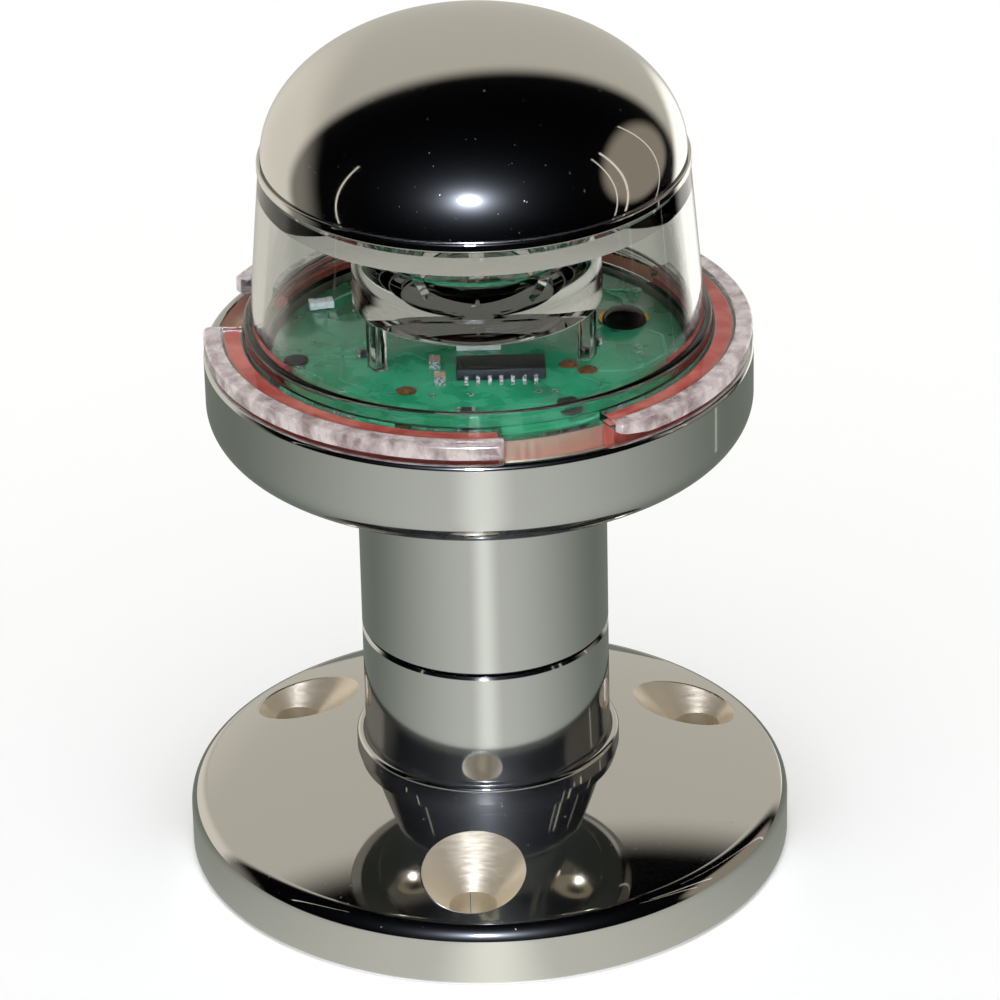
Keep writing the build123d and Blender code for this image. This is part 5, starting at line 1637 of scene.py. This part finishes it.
# Each narrow strip: its azimuth in degrees, then the level of its foot and its width in millimetres.
STUDIO_STRIPS = ((79, 45, 3.0), (72, 45, 1.6), (-70, 45, 2.0), (104, 0, 1.6))
STRIP_AWAY, STRIP_TOP = 0.125, 0.17     # metres from the axis and above the floor
WHITE_STRENGTH = 1.05
ROOM_PAINTED_SHADE_TWICE, SHEET_PAINTED_SHADE_TWICE = 0.3, 0.15   # painted shade: how much of the cards and the sheet is left in a second mirror, as in the shadow under the cup
SHEET_BACK_PAINTED_SHADE = "#5a5f58"                  # painted shade: the sheet's colour behind the light, darker than in front
SHEET_STRENGTH, SHEET_PAINTED_LIGHT_STREAK = 1.75, 14     # the streak of painted light on the sheet is in degrees to each side of the front
SHEET_FADE = 120                        # degrees from the front to where the sheet has its back colour, the painted shade
LAMP_SIZE, LAMP_POWER, LAMP_AWAY = 0.06, 16.0, 0.65     # metres, watts, metres
LAMP_AZIMUTH, LAMP_HEIGHT, LAMP_RAISED = -3, 27, 0.06   # degrees, degrees, metres


class NAVLIGHT_OT_stage(bpy.types.Operator):
    """Sets the camera, the pale floor and the soft light"""
    bl_idname = "navlight.stage"
    bl_label = "Stage"

    def execute(self, context):
        stage = sizes("navlight_stage")
        self.camera(stage)
        studio_world()
        self.floor(stage)
        self.sheet(stage)
        for number, (azimuth, low, width) in enumerate(STUDIO_STRIPS):
            self.strip(f"studio_strip_{number}", azimuth, low, width)
        self.lamp()
        bpy.context.scene.view_settings.view_transform = "Standard"
        return {"FINISHED"}

    def camera(self, stage):
        data = bpy.data.cameras.new("camera")
        data.lens = stage.focal
        data.sensor_width = 36.0
        data.clip_start, data.clip_end = 0.05, 50.0
        camera = linked("camera", data)
        camera.location = (0, -stage.distance * MM, stage.camera_height * MM)
        pitch, yaw, roll = (radians(a) for a in (stage.camera_pitch, stage.camera_yaw, stage.camera_roll))
        forward = Vector((sin(yaw) * cos(pitch), cos(yaw) * cos(pitch), -sin(pitch)))
        level = Vector((cos(yaw), -sin(yaw), 0.0))
        up = level.cross(forward)
        right = cos(roll) * level + sin(roll) * up
        up = -sin(roll) * level + cos(roll) * up
        camera.rotation_euler = Matrix((right, up, -forward)).transposed().to_euler()
        bpy.context.scene.camera = camera

    def floor(self, stage):
        mesh = bpy.data.meshes.new("studio_floor")
        side = 6.0
        mesh.from_pydata([(-side, -side, 0), (side, -side, 0), (side, side, 0), (-side, side, 0)], [], [(0, 1, 2, 3)])
        material, _, shader = new_finish("floor_paint", "#f4f4f2", Roughness=0.95)
        shader.inputs["Base Color"].default_value = stage.floor
        shader.inputs["Specular IOR Level"].default_value = 0.0
        mesh.materials.append(material)
        floor = linked("studio_floor", mesh)
        floor.visible_glossy = floor.visible_transmission = False

    def sheet(self, stage):
        """The sheet that the light stands on, as the polished metal mirrors it: a glowing stand-in for the floor, with
        painted light brighter in front and in a streak there, and painted shade behind.
        """
        count = 96
        mesh = bpy.data.meshes.new("studio_sheet")
        radius = stage.sheet_radius * MM
        mesh.from_pydata([(radius * cos(2 * pi * i / count), radius * sin(2 * pi * i / count), -0.0004)
                          for i in range(count)], [], [list(range(count))])
        material, tree = bare_material("sheet_glow")
        where = add_node(tree, "ShaderNodeTexCoord").outputs["Object"]
        part = add_node(tree, "ShaderNodeSeparateXYZ", {0: where}).outputs
        flipped = add_node(tree, "ShaderNodeMath", {0: part["Y"], 1: -1.0}, operation="MULTIPLY").outputs[0]
        around = add_node(tree, "ShaderNodeMath", {0: part["X"], 1: flipped}, operation="ARCTAN2").outputs[0]
        aside = add_node(tree, "ShaderNodeMath", {0: around}, operation="ABSOLUTE").outputs[0]
        # painted light and shade: the sheet is lighter in front of the light and darker behind it
        faces_front = add_node(tree, "ShaderNodeMapRange", {
            "Value": aside, "From Min": 0.0, "From Max": radians(SHEET_FADE), "To Min": 1.0, "To Max": 0.0},
            interpolation_type="SMOOTHSTEP").outputs["Result"]
        # painted light: a bright streak on the sheet straight in front of the light
        streak = add_node(tree, "ShaderNodeMapRange", {
            "Value": aside, "From Min": 0.0, "From Max": radians(SHEET_PAINTED_LIGHT_STREAK), "To Min": 1.0, "To Max": 0.0},
            interpolation_type="SMOOTHSTEP").outputs["Result"]
        colour = add_node(tree, "ShaderNodeMix", {"Factor": faces_front, "A": linear(SHEET_BACK_PAINTED_SHADE), "B": stage.sheet},
                          data_type="RGBA").outputs["Result"]
        bright = add_node(tree, "ShaderNodeMath", {0: streak, 1: SHEET_STRENGTH}, operation="ADD").outputs[0]
        # painted shade: the sheet lies darker in the mirror image of a mirror image, as in the shadow under the cup
        left = between(tree, second_mirror(tree), 1.0, SHEET_PAINTED_SHADE_TWICE)
        bright = add_node(tree, "ShaderNodeMath", {0: bright, 1: left}, operation="MULTIPLY").outputs[0]
        glow = add_node(tree, "ShaderNodeEmission", {"Color": colour, "Strength": bright})
        add_node(tree, "ShaderNodeOutputMaterial", {"Surface": glow.outputs[0]})
        mesh.materials.append(material)
        sheet = linked("studio_sheet", mesh)
        sheet.visible_camera = sheet.visible_diffuse = sheet.visible_shadow = False

    def strip(self, name, azimuth, low, width):
        """A narrow upright strip of white card, seen only in the polished metal."""
        away, low, high, half = STRIP_AWAY, low * MM, STRIP_TOP, width / 2 * MM
        mesh = bpy.data.meshes.new(name)
        mesh.from_pydata([(-half, -away, low), (half, -away, low), (half, -away, high), (-half, -away, high)], [],
                         [(0, 1, 2, 3)])
        mesh.transform(Matrix.Rotation(radians(azimuth), 4, "Z"))
        material, tree = bare_material(name)
        glow = add_node(tree, "ShaderNodeEmission", {"Color": linear("#f4efe4"), "Strength": 1.0})
        add_node(tree, "ShaderNodeOutputMaterial", {"Surface": glow.outputs[0]})
        mesh.materials.append(material)
        card = linked(name, mesh)
        card.visible_camera = card.visible_diffuse = card.visible_shadow = card.visible_transmission = False

    def lamp(self):
        """A small lamp close over the camera, whose glints the metal and the acrylic show."""
        data = bpy.data.lights.new("camera_lamp", "AREA")
        data.shape = "DISK"
        data.size = LAMP_SIZE
        data.energy = LAMP_POWER
        data.color = linear("#e3ecff")[:3]
        lamp = linked("camera_lamp", data)
        azimuth, height = radians(LAMP_AZIMUTH), radians(LAMP_HEIGHT)
        place = Vector((sin(azimuth) * cos(height), -cos(azimuth) * cos(height), sin(height))) * LAMP_AWAY
        lamp.location = place + Vector((0, 0, LAMP_RAISED))
        lamp.rotation_euler = place.to_track_quat("Z", "Y").to_euler()
        lamp.visible_camera = lamp.visible_diffuse = False


class NAVLIGHT_PT_panel(bpy.types.Panel):
    bl_label = "Navigation Light"
    bl_idname = "NAVLIGHT_PT_panel"
    bl_space_type = "VIEW_3D"
    bl_region_type = "UI"
    bl_category = "Navigation Light"

    def draw(self, context):
        for operator in OPERATORS:
            self.layout.operator(operator.bl_idname)
        for group in GROUPS:
            box = self.layout.box()
            box.label(text=group.split("_")[1].title())
            settings = getattr(context.scene, group)
            for name in GROUPS[group].__annotations__:
                box.prop(settings, name)


OPERATORS = (NAVLIGHT_OT_stage, NAVLIGHT_OT_base, NAVLIGHT_OT_socket, NAVLIGHT_OT_stem, NAVLIGHT_OT_cup,
             NAVLIGHT_OT_clamp, NAVLIGHT_OT_board, NAVLIGHT_OT_chip, NAVLIGHT_OT_board_parts, NAVLIGHT_OT_optic,
             NAVLIGHT_OT_gasket, NAVLIGHT_OT_lens, NAVLIGHT_OT_lugs, NAVLIGHT_OT_cap)


def register():
    for group in GROUPS.values():
        bpy.utils.register_class(group)
    for name, group in GROUPS.items():
        setattr(bpy.types.Scene, name, bpy.props.PointerProperty(type=group))
    for operator in OPERATORS:
        bpy.utils.register_class(operator)
    bpy.utils.register_class(NAVLIGHT_PT_panel)


def unregister():
    bpy.utils.unregister_class(NAVLIGHT_PT_panel)
    for operator in reversed(OPERATORS):
        bpy.utils.unregister_class(operator)
    for name, group in GROUPS.items():
        delattr(bpy.types.Scene, name)
        bpy.utils.unregister_class(group)


def main():
    register()
    make_finishes()
    for operator in OPERATORS:
        group, name = operator.bl_idname.split(".")
        getattr(getattr(bpy.ops, group), name)()


if __name__ == "__main__":
    main()
